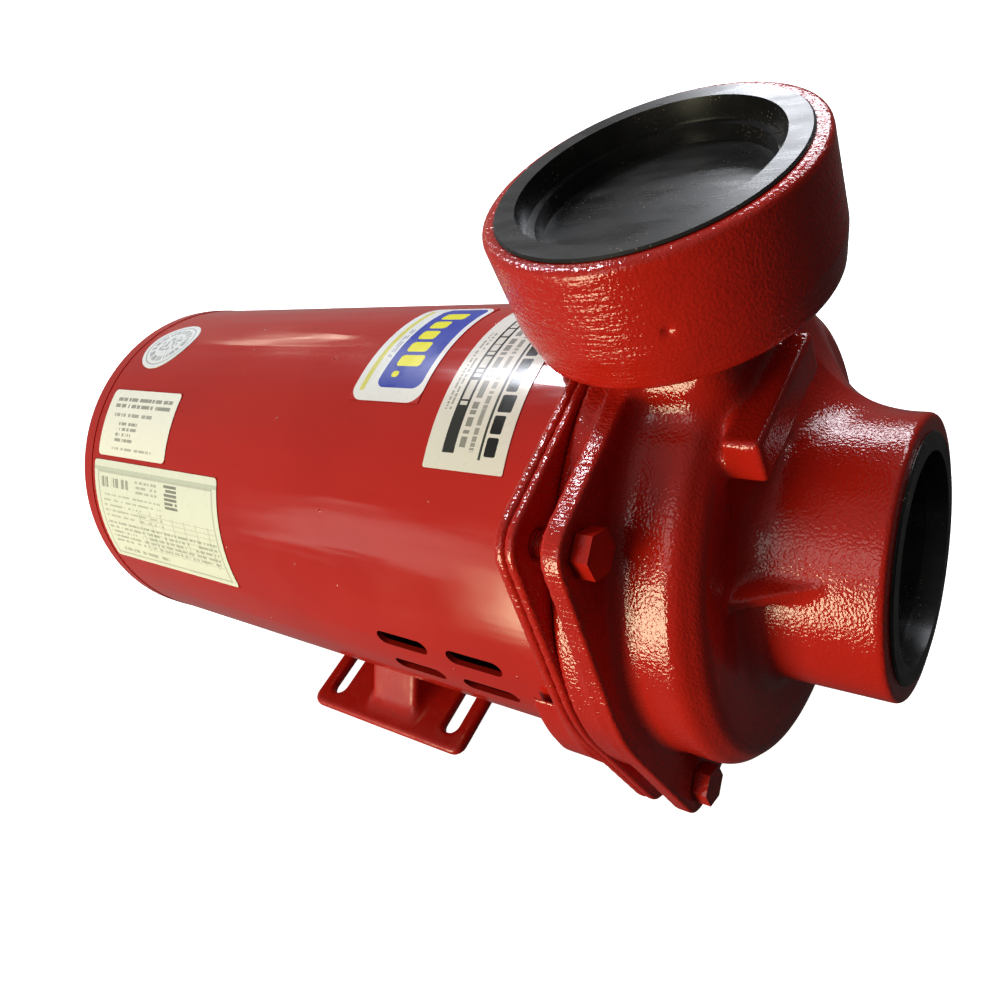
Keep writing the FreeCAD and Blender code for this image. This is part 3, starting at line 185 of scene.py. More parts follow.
class Paint:
    """A Principled material and the textures that feed it."""

    def __init__(self, name, colour, roughness, metallic=0.0, coat=0.0):
        self.material = bpy.data.materials.new(name)
        self.material.use_nodes = True
        self.tree = self.material.node_tree
        self.shader = self.tree.nodes["Principled BSDF"]
        set_inputs(self.shader, Base_Color=(*colour, 1), Roughness=roughness, Metallic=metallic,
                   Coat_Weight=coat, Coat_Roughness=0.1)
        coordinates = self.tree.nodes.new("ShaderNodeTexCoord")
        self.place = coordinates.outputs["Object"]
        self.normal = None

    def axes(self):
        """The point's x, y and z in millimetres, with z from the foot's mounting plane."""
        node = self.tree.nodes.new("ShaderNodeSeparateXYZ")
        self.tree.links.new(self.place, node.inputs[0])
        return [Value(self.tree, node.outputs[i]) * 1000 for i in range(3)]

    def stretched(self, stretch):
        """The texture position with each axis scaled: below 1 draws a pattern out along it."""
        node = self.tree.nodes.new("ShaderNodeMapping")
        node.inputs["Scale"].default_value = stretch
        self.tree.links.new(self.place, node.inputs["Vector"])
        return node.outputs[0]

    def noise(self, size_mm, detail=2.0, stretch=None, rough=0.5, where=None):
        """Noise whose features are about size_mm across."""
        node = self.tree.nodes.new("ShaderNodeTexNoise")
        set_inputs(node, Scale=1 / (size_mm * MM), Detail=detail, Roughness=rough)
        place = where or (self.stretched(stretch) if stretch else self.place)
        self.tree.links.new(place, node.inputs["Vector"])
        return Value(self.tree, node.outputs["Fac"])

    def cells(self, size_mm):
        """Distance from the nearest of points scattered about size_mm apart."""
        node = self.tree.nodes.new("ShaderNodeTexVoronoi")
        set_inputs(node, Scale=1 / (size_mm * MM))
        self.tree.links.new(self.place, node.inputs["Vector"])
        return Value(self.tree, node.outputs["Distance"])

    def point(self, x, y, z):
        """A texture position from three values."""
        node = self.tree.nodes.new("ShaderNodeCombineXYZ")
        for socket, item in zip(node.inputs, (x, y, z)):
            if isinstance(item, Value):
                self.tree.links.new(item.source, socket)
            else:
                socket.default_value = item
        return node.outputs[0]

    def mixed(self, first, second, share):
        """Between two colours, or an earlier mix and a colour, by share."""
        node = self.tree.nodes.new("ShaderNodeMix")
        node.data_type = "RGBA"
        for socket, item in ((node.inputs["A"], first), (node.inputs["B"], second)):
            if isinstance(item, tuple):
                socket.default_value = (*item, 1)
            else:
                self.tree.links.new(item, socket)
        self.tree.links.new(share.source, node.inputs["Factor"])
        return node.outputs["Result"]

    def colour(self, socket):
        self.tree.links.new(socket, self.shader.inputs["Base Color"])

    def roughness(self, value):
        self.tree.links.new(value.source, self.shader.inputs["Roughness"])

    def bump(self, height, depth_mm):
        """Adds relief of depth_mm for a height of one."""
        node = self.tree.nodes.new("ShaderNodeBump")
        set_inputs(node, Distance=depth_mm * MM, Strength=1.0)
        self.tree.links.new(height.source, node.inputs["Height"])
        if self.normal:
            self.tree.links.new(self.normal, node.inputs["Normal"])
        self.normal = node.outputs[0]
        for name in ("Normal", "Coat Normal"):
            self.tree.links.new(self.normal, self.shader.inputs[name])


# ---------------------------------------------------------------- materials

RED = (0.47, 0.014, 0.007)
DARK_RED = (0.34, 0.008, 0.004)
SHEET_RED = (0.42, 0.011, 0.006)
THREAD_PITCH = 1.25
# Where the flanges' turned edges and the bolts' bare threads lie along the shaft, and where the
# boss's turned side starts.
FLANGE_EDGE, SHIELD_EDGE, BOLT_GAP = (160.3, 167.2), (143.5, 152), (152.2, 159.8)
BOSS_SIDE = (SHAFT_HEIGHT + 92, SHAFT_HEIGHT + 96)


def cast_enamel(name, grain_mm, grain_depth):
    """Thick red enamel over sand-cast iron: grainy relief, softened by the paint."""
    paint = Paint(name, RED, 0.1)
    paint.colour(paint.mixed(RED, DARK_RED, paint.noise(28, 3).ramp(0.45, 0.75, 0, 0.45)))
    paint.roughness(paint.noise(6, 2).ramp(0.3, 0.7, 0.05, 0.12))
    paint.bump(paint.noise(9, 2), 0.2)
    paint.bump(paint.noise(grain_mm, 1, rough=0.4), grain_depth)
    return paint


def casting_paint():
    """The volute casing's enamel, with the marks of turning and filing that show through it."""
    paint = cast_enamel("casting_paint", 0.9, 0.2)
    x, _, z = paint.axes()
    turned = paint.noise(2.6, 3, stretch=(0.3, 0.3, 2.0))
    paint.bump(turned * z.ramp(*BOSS_SIDE), 0.4)
    filed = paint.noise(0.8, 1, stretch=(0.05, 1, 1))
    paint.bump(filed * x.between(*FLANGE_EDGE), 0.2)
    grit = paint.noise(1.1, 1)
    paint.bump(grit * (x < FLANGE_EDGE[0]), 0.25)
    return paint.material


def flange_paint():
    """The end shields' and the back plate's enamel, filed across their edges."""
    paint = cast_enamel("flange_paint", 1.1, 0.22)
    filed = paint.noise(1.2, 1, stretch=(0.2, 1, 1))
    paint.bump(filed * paint.axes()[0].between(*SHIELD_EDGE), 0.25)
    return paint.material


def shell_paint():
    """Enamel on rolled sheet: nearly smooth, faintly wavy, with a few nibs of dust under it."""
    paint = Paint("shell_paint", RED, 0.2)
    paint.colour(paint.mixed(RED, SHEET_RED, paint.noise(60, 2).ramp(0.4, 0.7, 0, 0.6)))
    paint.roughness(paint.noise(35, 3).ramp(0.3, 0.7, 0.11, 0.2))
    paint.bump(paint.noise(30, 1, stretch=(0.22, 1, 1)), 0.8)
    paint.bump(paint.noise(12, 1.5, stretch=(0.1, 1, 1)), 0.8)
    paint.bump(paint.noise(5, 2, stretch=(0.3, 1, 1)), 0.05)
    paint.bump(paint.cells(11).ramp(0.02, 0.08, 1, 0), 0.25)
    return paint.material


def foot_paint():
    """Enamel on pressed plate, duller than the shell's."""
    paint = Paint("foot_paint", RED, 0.22)
    paint.colour(paint.mixed(RED, DARK_RED, paint.noise(30, 2).ramp(0.4, 0.7, 0.1, 0.6)))
    paint.roughness(paint.noise(8, 2).ramp(0.3, 0.7, 0.18, 0.32))
    paint.bump(paint.noise(14, 2), 0.5)
    paint.bump(paint.noise(2.4, 2), 0.05)
    return paint.material


def bolt_paint():
    """Enamel over the bolts, with a stretch of thread where they cross the flanges' gap."""
    paint = Paint("bolt_paint", RED, 0.1)
    paint.colour(paint.mixed(RED, DARK_RED, paint.noise(5, 2).ramp(0.4, 0.7, 0, 0.5)))
    paint.bump(paint.noise(2.6, 2), 0.25)
    x = paint.axes()[0]
    thread = (x * (2 * math.pi / THREAD_PITCH)).math("SINE") * x.between(*BOLT_GAP)
    paint.bump(thread, 0.6)
    return paint.material


def plug_plastic(name):
    """Satin black moulding: faint scuffs, and brown dust that has settled in specks."""
    paint = Paint(name, (0.012, 0.013, 0.013), 0.3)
    haze = paint.noise(24, 4).ramp(0.4, 0.75, 0, 0.6)
    base = paint.mixed((0.008, 0.008, 0.008), (0.028, 0.028, 0.026), haze)
    specks = (paint.cells(1.5) < 0.16) * paint.noise(14, 3).ramp(0.42, 0.66)
    paint.colour(paint.mixed(base, (0.34, 0.24, 0.15), specks * 0.8))
    paint.roughness(paint.noise(9, 4, stretch=(0.5, 1.6, 1)).ramp(0.3, 0.7, 0.24, 0.34))
    paint.bump(paint.noise(1.1, 2, stretch=(0.12, 1.6, 0.4)), 0.02)
    paint.bump(specks, 0.12)
    return paint.material


def metal(name, colour, roughness, stretch=(0.2, 1, 1), size=1.0, depth=0.02, metallic=1.0):
    """Machined or drawn metal: marks drawn out along one axis and patches of duller tone."""
    paint = Paint(name, colour, roughness, metallic=metallic)
    dull = tuple(c * 0.75 for c in colour)
    paint.colour(paint.mixed(colour, dull, paint.noise(11, 3).ramp(0.35, 0.7, 0, 0.8)))
    worn = paint.noise(5, 3, stretch=stretch)
    paint.roughness(worn.ramp(0.3, 0.7, roughness * 0.75, roughness * 1.35))
    paint.bump(paint.noise(size, 2, stretch=stretch), depth)
    return paint.material


def moulded(name, colour, roughness, size=1.2, depth=0.03, variation=0.7):
    """Moulded or pressed non-metal: fine grain and a little uneven tone."""
    paint = Paint(name, colour, roughness)
    uneven = tuple(c * variation for c in colour)
    paint.colour(paint.mixed(colour, uneven, paint.noise(8, 3).ramp(0.35, 0.7)))
    paint.roughness(paint.noise(4, 3).ramp(0.3, 0.7, roughness * 0.85, roughness * 1.2))
    paint.bump(paint.noise(size, 2), depth)
    return paint.material


def laminated(name):
    """Stacked electrical steel seen on edge, a sheet to the millimetre."""
    paint = Paint(name, (0.23, 0.24, 0.26), 0.4, metallic=0.9)
    sheets = (paint.axes()[0] * (2 * math.pi)).math("SINE")
    paint.colour(paint.mixed((0.26, 0.27, 0.29), (0.10, 0.10, 0.12), sheets.ramp(0.2, 1, 0, 0.8)))
    paint.roughness(paint.noise(6, 3).ramp(0.3, 0.7, 0.32, 0.55))
    paint.bump(sheets, 0.05)
    return paint.material


def wound(name):
    """Varnished enamelled wire laid in bundles."""
    paint = Paint(name, (0.55, 0.20, 0.07), 0.3, metallic=0.6, coat=0.6)
    turns = paint.noise(1.3, 2, stretch=(1, 0.35, 0.35))
    paint.colour(paint.mixed((0.60, 0.24, 0.09), (0.24, 0.07, 0.025), turns.ramp(0.4, 0.65)))
    paint.roughness(paint.noise(5, 2).ramp(0.3, 0.7, 0.22, 0.42))
    paint.bump(turns, 0.35)
    return paint.material


# ---------------------------------------------------------------- labels


GREY_INK, BLACK_INK, PALE_INK = (0.16, 0.17, 0.15), (0.012, 0.012, 0.012), (0.78, 0.77, 0.70)
YELLOW, BLUE, INDIGO = (0.86, 0.82, 0.03), (0.035, 0.06, 0.42), (0.10, 0.12, 0.34)
SLATE, CHARCOAL = (0.045, 0.05, 0.048), (0.03, 0.032, 0.03)


class Label(Paint):
    """A label wrapped on the shell. u runs 0 to 1 along x, and v 0 to 1 round it, away from +Y."""

    def __init__(self, name, colour, first_x, last_x, first_angle, last_angle, roughness=0.3):
        super().__init__(name, colour, roughness)
        x, y, z = self.axes()
        angle = (y.math("ARCTAN2", (z - SHAFT_HEIGHT)) * (-180 / math.pi)) + 90
        self.u = (x - first_x) / (last_x - first_x)
        self.v = (angle - first_angle) / (last_angle - first_angle)
        self.length = last_x - first_x
        self.width = math.radians(last_angle - first_angle) * (SHELL_RADIUS + 0.25)
        self.ink = colour

    def patch(self, u0, u1, v0, v1, corner_mm=0.0):
        """1 inside a rectangle of the label whose corners are rounded."""
        if not corner_mm:
            return self.u.between(u0, u1) * self.v.between(v0, v1)
        sides = []
        for value, low, high, size in ((self.u, u0, u1, self.length), (self.v, v0, v1, self.width)):
            reach = (value - (low + high) / 2).math("ABSOLUTE") * size
            straight = (high - low) / 2 * size - corner_mm
            sides.append((reach - straight).math("MAXIMUM", 0.0))
        squares = [side.math("POWER", 2) for side in sides]
        return (squares[0] + squares[1]) < corner_mm ** 2

    def rows(self, patch, count, fill, word, least=0.47, upright=False):
        """Rows of plain blocks: fill is their share of the pitch, and word is a block's size."""
        u0, u1, v0, v1 = patch
        along, over = (self.v, self.u) if upright else (self.u, self.v)
        low, high = (u0, u1) if upright else (v0, v1)
        row = (over - low) * (count / (high - low))
        number = row.math("FLOOR")
        inside = row.math("FRACT").between(0.5 - fill / 2, 0.5 + fill / 2)
        block = self.noise(1000, 1, where=self.point(along * (1 / word), number * 7.3, 0.0))
        return self.patch(*patch) * inside * (block > least)

    def bars(self, u0, u1, v0, v1, heights, fill, corner_mm):
        """A row of plain rounded bars across the label, each as long as its share of u0 to u1."""
        pitch = (v1 - v0) / len(heights)
        row = self.patch(u0, u0, v0, v0)
        for number, height in enumerate(heights):
            start = v0 + number * pitch
            bar = self.patch(u0, u0 + (u1 - u0) * height, start, start + fill * pitch, corner_mm)
            row = row.either(bar)
        return row

    def print(self, mask, colour, strength=1.0):
        self.ink = self.mixed(self.ink, colour, mask * strength)

    def finish(self, corner_mm):
        """Round the corners off by painting what lies outside them like the shell."""
        inside = self.patch(0, 1, 0, 1, corner_mm)
        self.colour(self.mixed(RED, self.ink, inside))
        self.roughness(self.noise(12, 2).ramp(0.3, 0.7, 0.2, 0.34))
        self.bump(self.noise(30, 2), 0.15)
        self.bump(self.noise(2.5, 2), 0.01)
        return self.material


def inspection_print():
    label = Label("inspection_print", (0.94, 0.95, 0.88), -114.6, -59, 110, 132.4, 0.4)
    for patch, count, fill, word, least, strength in (
            ((0.10, 0.92, 0.10, 0.30), 2, 0.55, 0.04, 0.44, 0.75),
            ((0.12, 0.70, 0.34, 0.44), 1, 0.5, 0.05, 0.47, 0.65),
            ((0.22, 0.52, 0.48, 0.80), 4, 0.55, 0.035, 0.47, 0.7),
            ((0.2, 0.8, 0.84, 0.93), 1, 0.4, 0.05, 0.47, 0.55)):
        label.print(label.rows(patch, count, fill, word, least), GREY_INK, strength)
    return label.finish(2.5)


def rating_print():
    """Pale plate with a thin frame, a green line, rows of small blocks and a ruled table."""
    label = Label("rating_print", (0.82, 0.86, 0.80), -117.5, -19.5, 134, 168.8, 0.28)
    within = label.patch(0.04, 0.96, 0.12, 0.94)
    frame_line = label.patch(0.03, 0.97, 0.10, 0.96) * within.math("SUBTRACT", 1).math("ABSOLUTE")
    label.print(frame_line, GREY_INK, 0.4)
    label.print(label.patch(0.0, 1.0, 0.065, 0.10), (0.50, 0.57, 0.50), 0.7)
    label.print(label.rows((0.06, 0.13, 0.15, 0.26), 1, 0.9, 0.02), GREY_INK, 0.7)
    label.print(label.rows((0.15, 0.30, 0.15, 0.26), 1, 0.8, 0.035), GREY_INK, 0.65)
    label.print(label.rows((0.36, 0.54, 0.14, 0.28), 3, 0.5, 0.02), GREY_INK, 0.5)
    label.print(label.rows((0.60, 0.70, 0.13, 0.36), 6, 0.66, 0.05, 0.40), BLACK_INK, 0.7)
    label.print(label.rows((0.06, 0.56, 0.30, 0.56), 5, 0.35, 0.03), GREY_INK, 0.45)
    table = label.patch(0.35, 0.955, 0.44, 0.84)
    across = (label.v * 22).math("FRACT").between(0.0, 0.14) * table
    down = (label.u * 11).math("FRACT").between(0.0, 0.07) * table
    label.print(across.either(down), GREY_INK, 0.35)
    label.print(label.rows((0.06, 0.95, 0.58, 0.82), 5, 0.45, 0.022), GREY_INK, 0.55)
    label.print(label.rows((0.10, 0.5, 0.86, 0.92), 1, 0.6, 0.04), GREY_INK, 0.5)
    return label.finish(2.0)


def sticker_print():
    """White border, a blue field with five plain yellow bars, and a yellow line along one edge."""
    label = Label("sticker_print", (0.84, 0.85, 0.83), 47, 82, 67, 108, 0.2)
    bars = label.bars(0.42, 0.76, 0.12, 0.76, (1, 0.72, 0.72, 0.86, 1), 0.76, 1.6)
    label.print(label.patch(0.30, 0.93, 0.03, 0.90, 4.0), BLUE)
    label.print(bars, YELLOW)
    label.print(label.patch(0.44, 0.54, 0.77, 0.82, 1.4), YELLOW)
    label.print(label.patch(0.09, 0.16, 0.06, 0.93, 1.1), (0.70, 0.66, 0.05), 0.85)
    label.print(label.rows((0.20, 0.27, 0.36, 0.66), 2, 0.5, 0.04, upright=True), INDIGO, 0.7)
    return label.finish(6.0)


def pump_print():
    """Cream label with a row of plain dark bars, a dark band and rows of small blocks."""
    label = Label("pump_print", PALE_INK, 93, 127, 57, 123.5, 0.22)
    heights = (1, 0.8, 0.8, 0.8, 0.8, 0.8, 1, 0.8, 0.8)
    label.print(label.patch(0.67, 0.70, 0.10, 0.955), SLATE)
    label.print(label.bars(0.73, 0.90, 0.22, 0.955, heights, 0.84, 0.7), BLACK_INK)
    label.print(label.patch(0.21, 0.36, 0.12, 0.94), CHARCOAL)
    for patch, count, fill, word, least, colour, strength in (
            ((0.235, 0.335, 0.30, 0.76), 1, 0.9, 0.022, 0.42, PALE_INK, 0.9),
            ((0.40, 0.49, 0.22, 0.92), 1, 0.85, 0.022, 0.44, GREY_INK, 0.8),
            ((0.53, 0.61, 0.10, 0.93), 1, 0.7, 0.018, 0.44, GREY_INK, 0.7),
            ((0.06, 0.17, 0.40, 0.78), 2, 0.5, 0.015, 0.47, GREY_INK, 0.7)):
        label.print(label.rows(patch, count, fill, word, least, upright=True), colour, strength)
    return label.finish(0.8)


def round_print():
    """A round white label with a ring of blocks, a speckled middle and a thin grey edge."""
    white, grey, middle_x = (0.88, 0.90, 0.88), (0.30, 0.32, 0.33), -98
    paint = Paint("round_print", white, 0.25)
    x, y, _ = paint.axes()
    along = x - middle_x
    reach = (along.math("POWER", 2) + y.math("POWER", 2)).math("SQRT")
    turn = along.math("ARCTAN2", y)
    blocks = paint.noise(1000, 1, where=paint.point(turn * 6, 0.0, 0.0)) > 0.48
    ring = reach.between(8.5, 11.5) * blocks
    centre = reach.between(1.5, 6.5) * (paint.noise(2.2, 1) > 0.52)
    edge = reach.between(13.2, 13.9)
    paint.colour(paint.mixed(white, grey, ring.either(centre).either(edge) * 0.7))
    paint.bump(paint.noise(2.5, 2), 0.01)
    return paint.material


# ---------------------------------------------------------------- solids from distance fields

CORNERS = list(itertools.product((0, 1), repeat=3))
FAR = 1e9
GRID_MARGIN = 3.0

PLATE_RADIUS, LUG_RADIUS, BOLT_OFFSET = 88.0, 11.8, 66.4


def nearest(a, b, blend=0.0):
    """Union of two fields, filleted over a width."""
    h = np.maximum(blend - np.abs(a - b), 0)
    return np.minimum(a, b) - h * h / (4 * np.maximum(blend, 1e-6))


def shared(a, b, blend=0.0):
    """Intersection, with the edge rounded over a width."""
    return -nearest(-a, -b, blend)


def cut(a, b, blend=0.0):
    """What is left of a outside b."""
    return shared(a, -b, blend)


def pair(a, b, rounding):
    """Intersection of two perpendicular distances with a true radius on the edge."""
    a, b = a + rounding, b + rounding
    return np.minimum(np.maximum(a, b), 0) + np.hypot(np.maximum(a, 0), np.maximum(b, 0)) - rounding


def slab(axis, low, high):
    """Distance to the space between two planes."""
    return np.abs(axis - (low + high) / 2) - (high - low) / 2


def rounded_box(axes, low, high, rounding):
    """Distance to a box with a true radius on its edges and corners."""
    inside, outside = -FAR, 0
    for axis, a, b in zip(axes, low, high):
        reach = slab(axis, a, b) + rounding
        inside = np.maximum(inside, reach)
        outside = outside + np.maximum(reach, 0) ** 2
    return np.minimum(inside, 0) + np.sqrt(outside) - rounding


def polygon(a, b, corners):
    """Signed distance to a closed polygon in the plane of a and b."""
    a, b = np.broadcast_arrays(a, b)
    best = np.full(a.shape, FAR, np.float32)
    sign = np.ones(a.shape, np.float32)
    for (ax, ay), (bx, by) in zip(corners, corners[1:] + corners[:1]):
        ex, ey = bx - ax, by - ay
        wx, wy = a - ax, b - ay
        t = np.clip((wx * ex + wy * ey) / (ex * ex + ey * ey), 0, 1)
        best = np.minimum(best, (wx - ex * t) ** 2 + (wy - ey * t) ** 2)
        above, below = b >= ay, b < by
        left = ex * wy > ey * wx
        sign = np.where((above & below & left) | (~above & ~below & ~left), -sign, sign)
    return sign * np.sqrt(best)


def lug_plate(y, z):
    """Distance to a round plate drawn out in straight lines to four round lugs."""
    y, z = np.abs(y), np.abs(z)
    reach = math.hypot(BOLT_OFFSET, BOLT_OFFSET)
    along, aside = (y + z) / math.sqrt(2), np.abs(y - z) / math.sqrt(2)
    sine = (PLATE_RADIUS - LUG_RADIUS) / reach
    cosine = math.sqrt(1 - sine * sine)
    run = along * cosine - aside * sine
    side = aside * cosine + along * sine - PLATE_RADIUS
    lug = np.hypot(along - reach, aside) - LUG_RADIUS
    return np.where(run < 0, np.hypot(along, aside) - PLATE_RADIUS,
                    np.where(run > cosine * reach, lug, side))


def lattice(low, high, step):
    """Coordinates of a grid of points, ready to broadcast."""
    axes = [np.arange(a, b + step, step, dtype=np.float32) for a, b in zip(low, high)]
    return axes[0][:, None, None], axes[1][None, :, None], axes[2][None, None, :]


def sampled(field, spots):
    """Field values at fractional grid positions."""
    base = np.clip(np.floor(spots).astype(np.int32), 0, np.array(field.shape) - 2)
    part = spots - base
    total = 0
    for corner in CORNERS:
        weight = np.abs(1 - np.array(corner) - part).prod(1)
        total = total + weight * field[tuple((base + corner).T)]
    return total


def crossed_cells(inside):
    """The grid cells that the surface goes through, and a grid of their numbers."""
    count = np.array(inside.shape) - 1
    total = np.zeros(count, np.int8)
    for i, j, k in CORNERS:
        total += inside[i:count[0] + i, j:count[1] + j, k:count[2] + k]
    live = (total > 0) & (total < 8)
    cells = np.argwhere(live)
    index = np.full(count, -1, np.int32)
    index[live] = np.arange(len(cells))
    return cells, index


def mean_crossings(field, cells):
    """The mean, for each cell, of the points where the surface crosses its edges."""
    spots, hits = np.zeros((len(cells), 3)), np.zeros(len(cells))
    for start, axis in itertools.product(CORNERS, range(3)):
        if start[axis]:
            continue
        stop = list(start)
        stop[axis] = 1
        a = field[tuple((cells + start).T)]
        b = field[tuple((cells + stop).T)]
        crossing = (a < 0) != (b < 0)
        share = np.where(crossing, a / np.where(crossing, a - b, 1), 0)
        spot = cells + np.array(start, float)
        spot[:, axis] += share
        spots += spot * crossing[:, None]
        hits += crossing
    return spots / hits[:, None]


def drawn_in(field, spots, rounds=3, most=0.3):
    """The points moved onto the field's zero surface, by at most so many grid steps a round."""
    for _ in range(rounds):
        slope = np.stack([sampled(field, spots + 0.5 * unit) - sampled(field, spots - 0.5 * unit)
                          for unit in np.eye(3)], 1)
        steepness = np.maximum((slope ** 2).sum(1), 1e-6)
        move = slope * (sampled(field, spots) / steepness)[:, None]
        spots = spots - np.clip(move, -most, most)
    return spots


def net(inside, index):
    """Faces that join the four cells round each grid edge that the surface crosses."""
    count = index.shape
    faces = []
    for axis in range(3):
        one, two = [a for a in range(3) if a != axis]
        near, far = [slice(None)] * 3, [slice(None)] * 3
        near[axis], far[axis] = slice(0, count[axis]), slice(1, count[axis] + 1)
        first, second = inside[tuple(near)], inside[tuple(far)]
        edges = np.argwhere(first != second)
        for across in (one, two):
            edges = edges[(edges[:, across] > 0) & (edges[:, across] < count[across])]
        ring = []
        for back_one, back_two in ((1, 1), (0, 1), (0, 0), (1, 0)):
            spot = edges.copy()
            spot[:, one] -= back_one
            spot[:, two] -= back_two
            ring.append(index[tuple(spot.T)])
        ring = np.stack(ring, 1)
        outward = first[tuple(edges.T)] if axis != 1 else ~first[tuple(edges.T)]
        ring[~outward] = ring[~outward][:, ::-1]
        faces.append(ring)
    return np.concatenate(faces)


def skinned(name, field, low, limits):
    """A smooth mesh over the field's zero surface, kept inside a box given in metres."""
    inside = field < 0
    cells, index = crossed_cells(inside)
    spots = drawn_in(field, mean_crossings(field, cells))
    points = (spots * GRID_STEP + np.array(low) + np.array((0, 0, SHAFT_HEIGHT))) * MM
    mesh = bpy.data.meshes.new(name)
    mesh.from_pydata(np.clip(points, *limits).tolist(), [], net(inside, index).tolist())
    mesh.polygons.foreach_set("use_smooth", np.ones(len(mesh.polygons), bool))
    mesh.update()
    piece = bpy.data.objects.new(name, mesh)
    scene.collection.objects.link(piece)
    return piece


def field_piece(name, node, field, material):
    """A mesh piece over a distance field that takes the place of a CAD node."""
    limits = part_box(node)
    low, high = [corner * 1000 - Vector((0, 0, SHAFT_HEIGHT)) for corner in limits]
    room = Vector((GRID_MARGIN,) * 3)
    x, y, z = lattice(low - room, high + room, GRID_STEP)
    piece = skinned(name, field(x, y, z), low - room, limits)
    piece.data.materials.append(material)
    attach(piece, "pump")
    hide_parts(node)
    return piece


# ---------------------------------------------------------------- the volute casing

PLATE_X, PLATE_FRONT, PLATE_EDGE = 160.0, 167.0, 0.8
COLLAR_BACK = 152.0
SPIRAL_Y = 2.5
BODY_SKIN = 8.0  # how far the body stands out all round the profile drawn for it
NECK_LOW, NECK_HIGH, NECK_TOE, NECK_FLARE = -21.0, 50.0, 0.0042, 0.22
BOSS_X, BOSS_Y, BOSS_BASE, BOSS_TOP, BOSS_RADIUS = 169.6, 17.8, 92.5, 132.9, 50.4
BOSS_TAPER, BOSS_TAPER_HEIGHT, BOSS_STEP = 0.18, 12.0, 0.5
NOZZLE_END, NOZZLE_RADIUS = 234.6, 46.3
NOZZLE_BLEND, NOZZLE_BLEND_FAR, NOZZLE_BLEND_REACH = 9.0, 26.0, 34.0
SUCTION_THREAD, SUCTION_THROAT, SUCTION_DEPTH_END = 37.6, 34.0, 180.0
DISCHARGE_THREAD, DISCHARGE_THROAT, DISCHARGE_DEPTH_END = 43.95, 39.95, 98.0
SPOT_FACE, CASING_HOLE, SHIELD_HOLE = 8.4, 4.4, 4.1


def bolt_distance(y, z):
    """Distance from the nearest of the four bolts' axes."""
    return np.hypot(np.abs(y) - BOLT_OFFSET, np.abs(z) - BOLT_OFFSET)


def casing_outside(x, y, z, radius, spiral_radius, boss_radius):
    """Flange, spiral body, neck, nozzle, discharge boss, rib and gusset, filleted together."""
    plate = pair(lug_plate(y, z), slab(x, PLATE_X, PLATE_FRONT), PLATE_EDGE)
    collar = pair(radius - PLATE_RADIUS, slab(x, COLLAR_BACK, PLATE_X + 2), PLATE_EDGE)
    plate = nearest(plate, collar, 1.0)
    body = polygon(x, spiral_radius, [
        (161.0, 0.0), (183.5, 0.0), (184.0, 54.0), (185.5, 66.0), (185.6, 71.0), (183.5, 72.9),
        (161.0, 72.4)]) - BODY_SKIN
    drop = np.maximum(BOSS_BASE - z, 0)
    low_side, high_side = NECK_LOW - NECK_TOE * drop ** 2, NECK_HIGH + NECK_FLARE * drop
    across = np.maximum(low_side - y, y - high_side)
    neck = pair(across, np.maximum(slab(x, 157.0, 196.5), slab(z, 40.0, BOSS_BASE + 4)), 15.0)
    body = nearest(body, neck, 6.0)
    nozzle = pair(radius - NOZZLE_RADIUS, slab(x, 180.0, NOZZLE_END), 1.6)
    fillet = NOZZLE_BLEND + NOZZLE_BLEND_FAR * np.clip(y / NOZZLE_BLEND_REACH, 0, 1)
    body = nearest(body, nozzle, fillet)
    casting = nearest(plate, body, 7.0)
    taper = np.maximum(BOSS_BASE + BOSS_TAPER_HEIGHT - z, 0) * BOSS_TAPER
    tapered = boss_radius - BOSS_RADIUS + BOSS_STEP + taper
    boss_side = np.maximum(tapered, boss_radius - BOSS_RADIUS)
    boss = pair(boss_side, slab(z, BOSS_BASE, BOSS_TOP), 2.0)
    casting = nearest(casting, boss, 1.6)
    rib = rounded_box((x, y, z), (194.5, -29.5, 60.5), (206.0, 20.0, 75.0), 1.6)
    casting = nearest(casting, rib, 4.0)
    gusset = polygon(x, y, [(185.0, -32.3), (185.0, -53.1), (217.0, -37.7), (217.0, -32.3)])
    gusset = pair(gusset, slab(z, 23.0, 27.5), 0.6)
    return nearest(casting, gusset, 2.2)


def casing_inside(x, y, z, radius, spiral_radius, boss_radius):
    """The chamber, its opening to the motor, the passage to the boss, and both threaded bores."""
    chamber = pair(spiral_radius - 74.0, slab(x, 159.0, 184.0), 2.0)
    entry = pair(radius - 70.5, slab(x, 148.0, 160.5), 0.3)
    hollow = nearest(chamber, entry)
    sides = np.maximum(-14.0 - y, y - 34.0)
    ends = np.maximum(slab(x, 159.0, 184.0), slab(z, 40.0, BOSS_TOP - 30))
    hollow = nearest(hollow, pair(sides, ends, 5.0), 4.0)
    for end, along, away, thread, throat, throat_end in (
            (NOZZLE_END, x, radius, SUCTION_THREAD, SUCTION_THROAT, SUCTION_DEPTH_END),
            (BOSS_TOP, z, boss_radius, DISCHARGE_THREAD, DISCHARGE_THROAT, DISCHARGE_DEPTH_END)):
        bore = pair(away - thread, slab(along, end - 30.6, end + 5), 0.4)
        relief = pair(away - thread - 0.8, slab(along, end - 16.6, end - 15.0), 0.3)
        inner = pair(away - throat, slab(along, throat_end, end - 29), 0.4)
        hollow = nearest(hollow, nearest(nearest(bore, relief), inner))
    return hollow


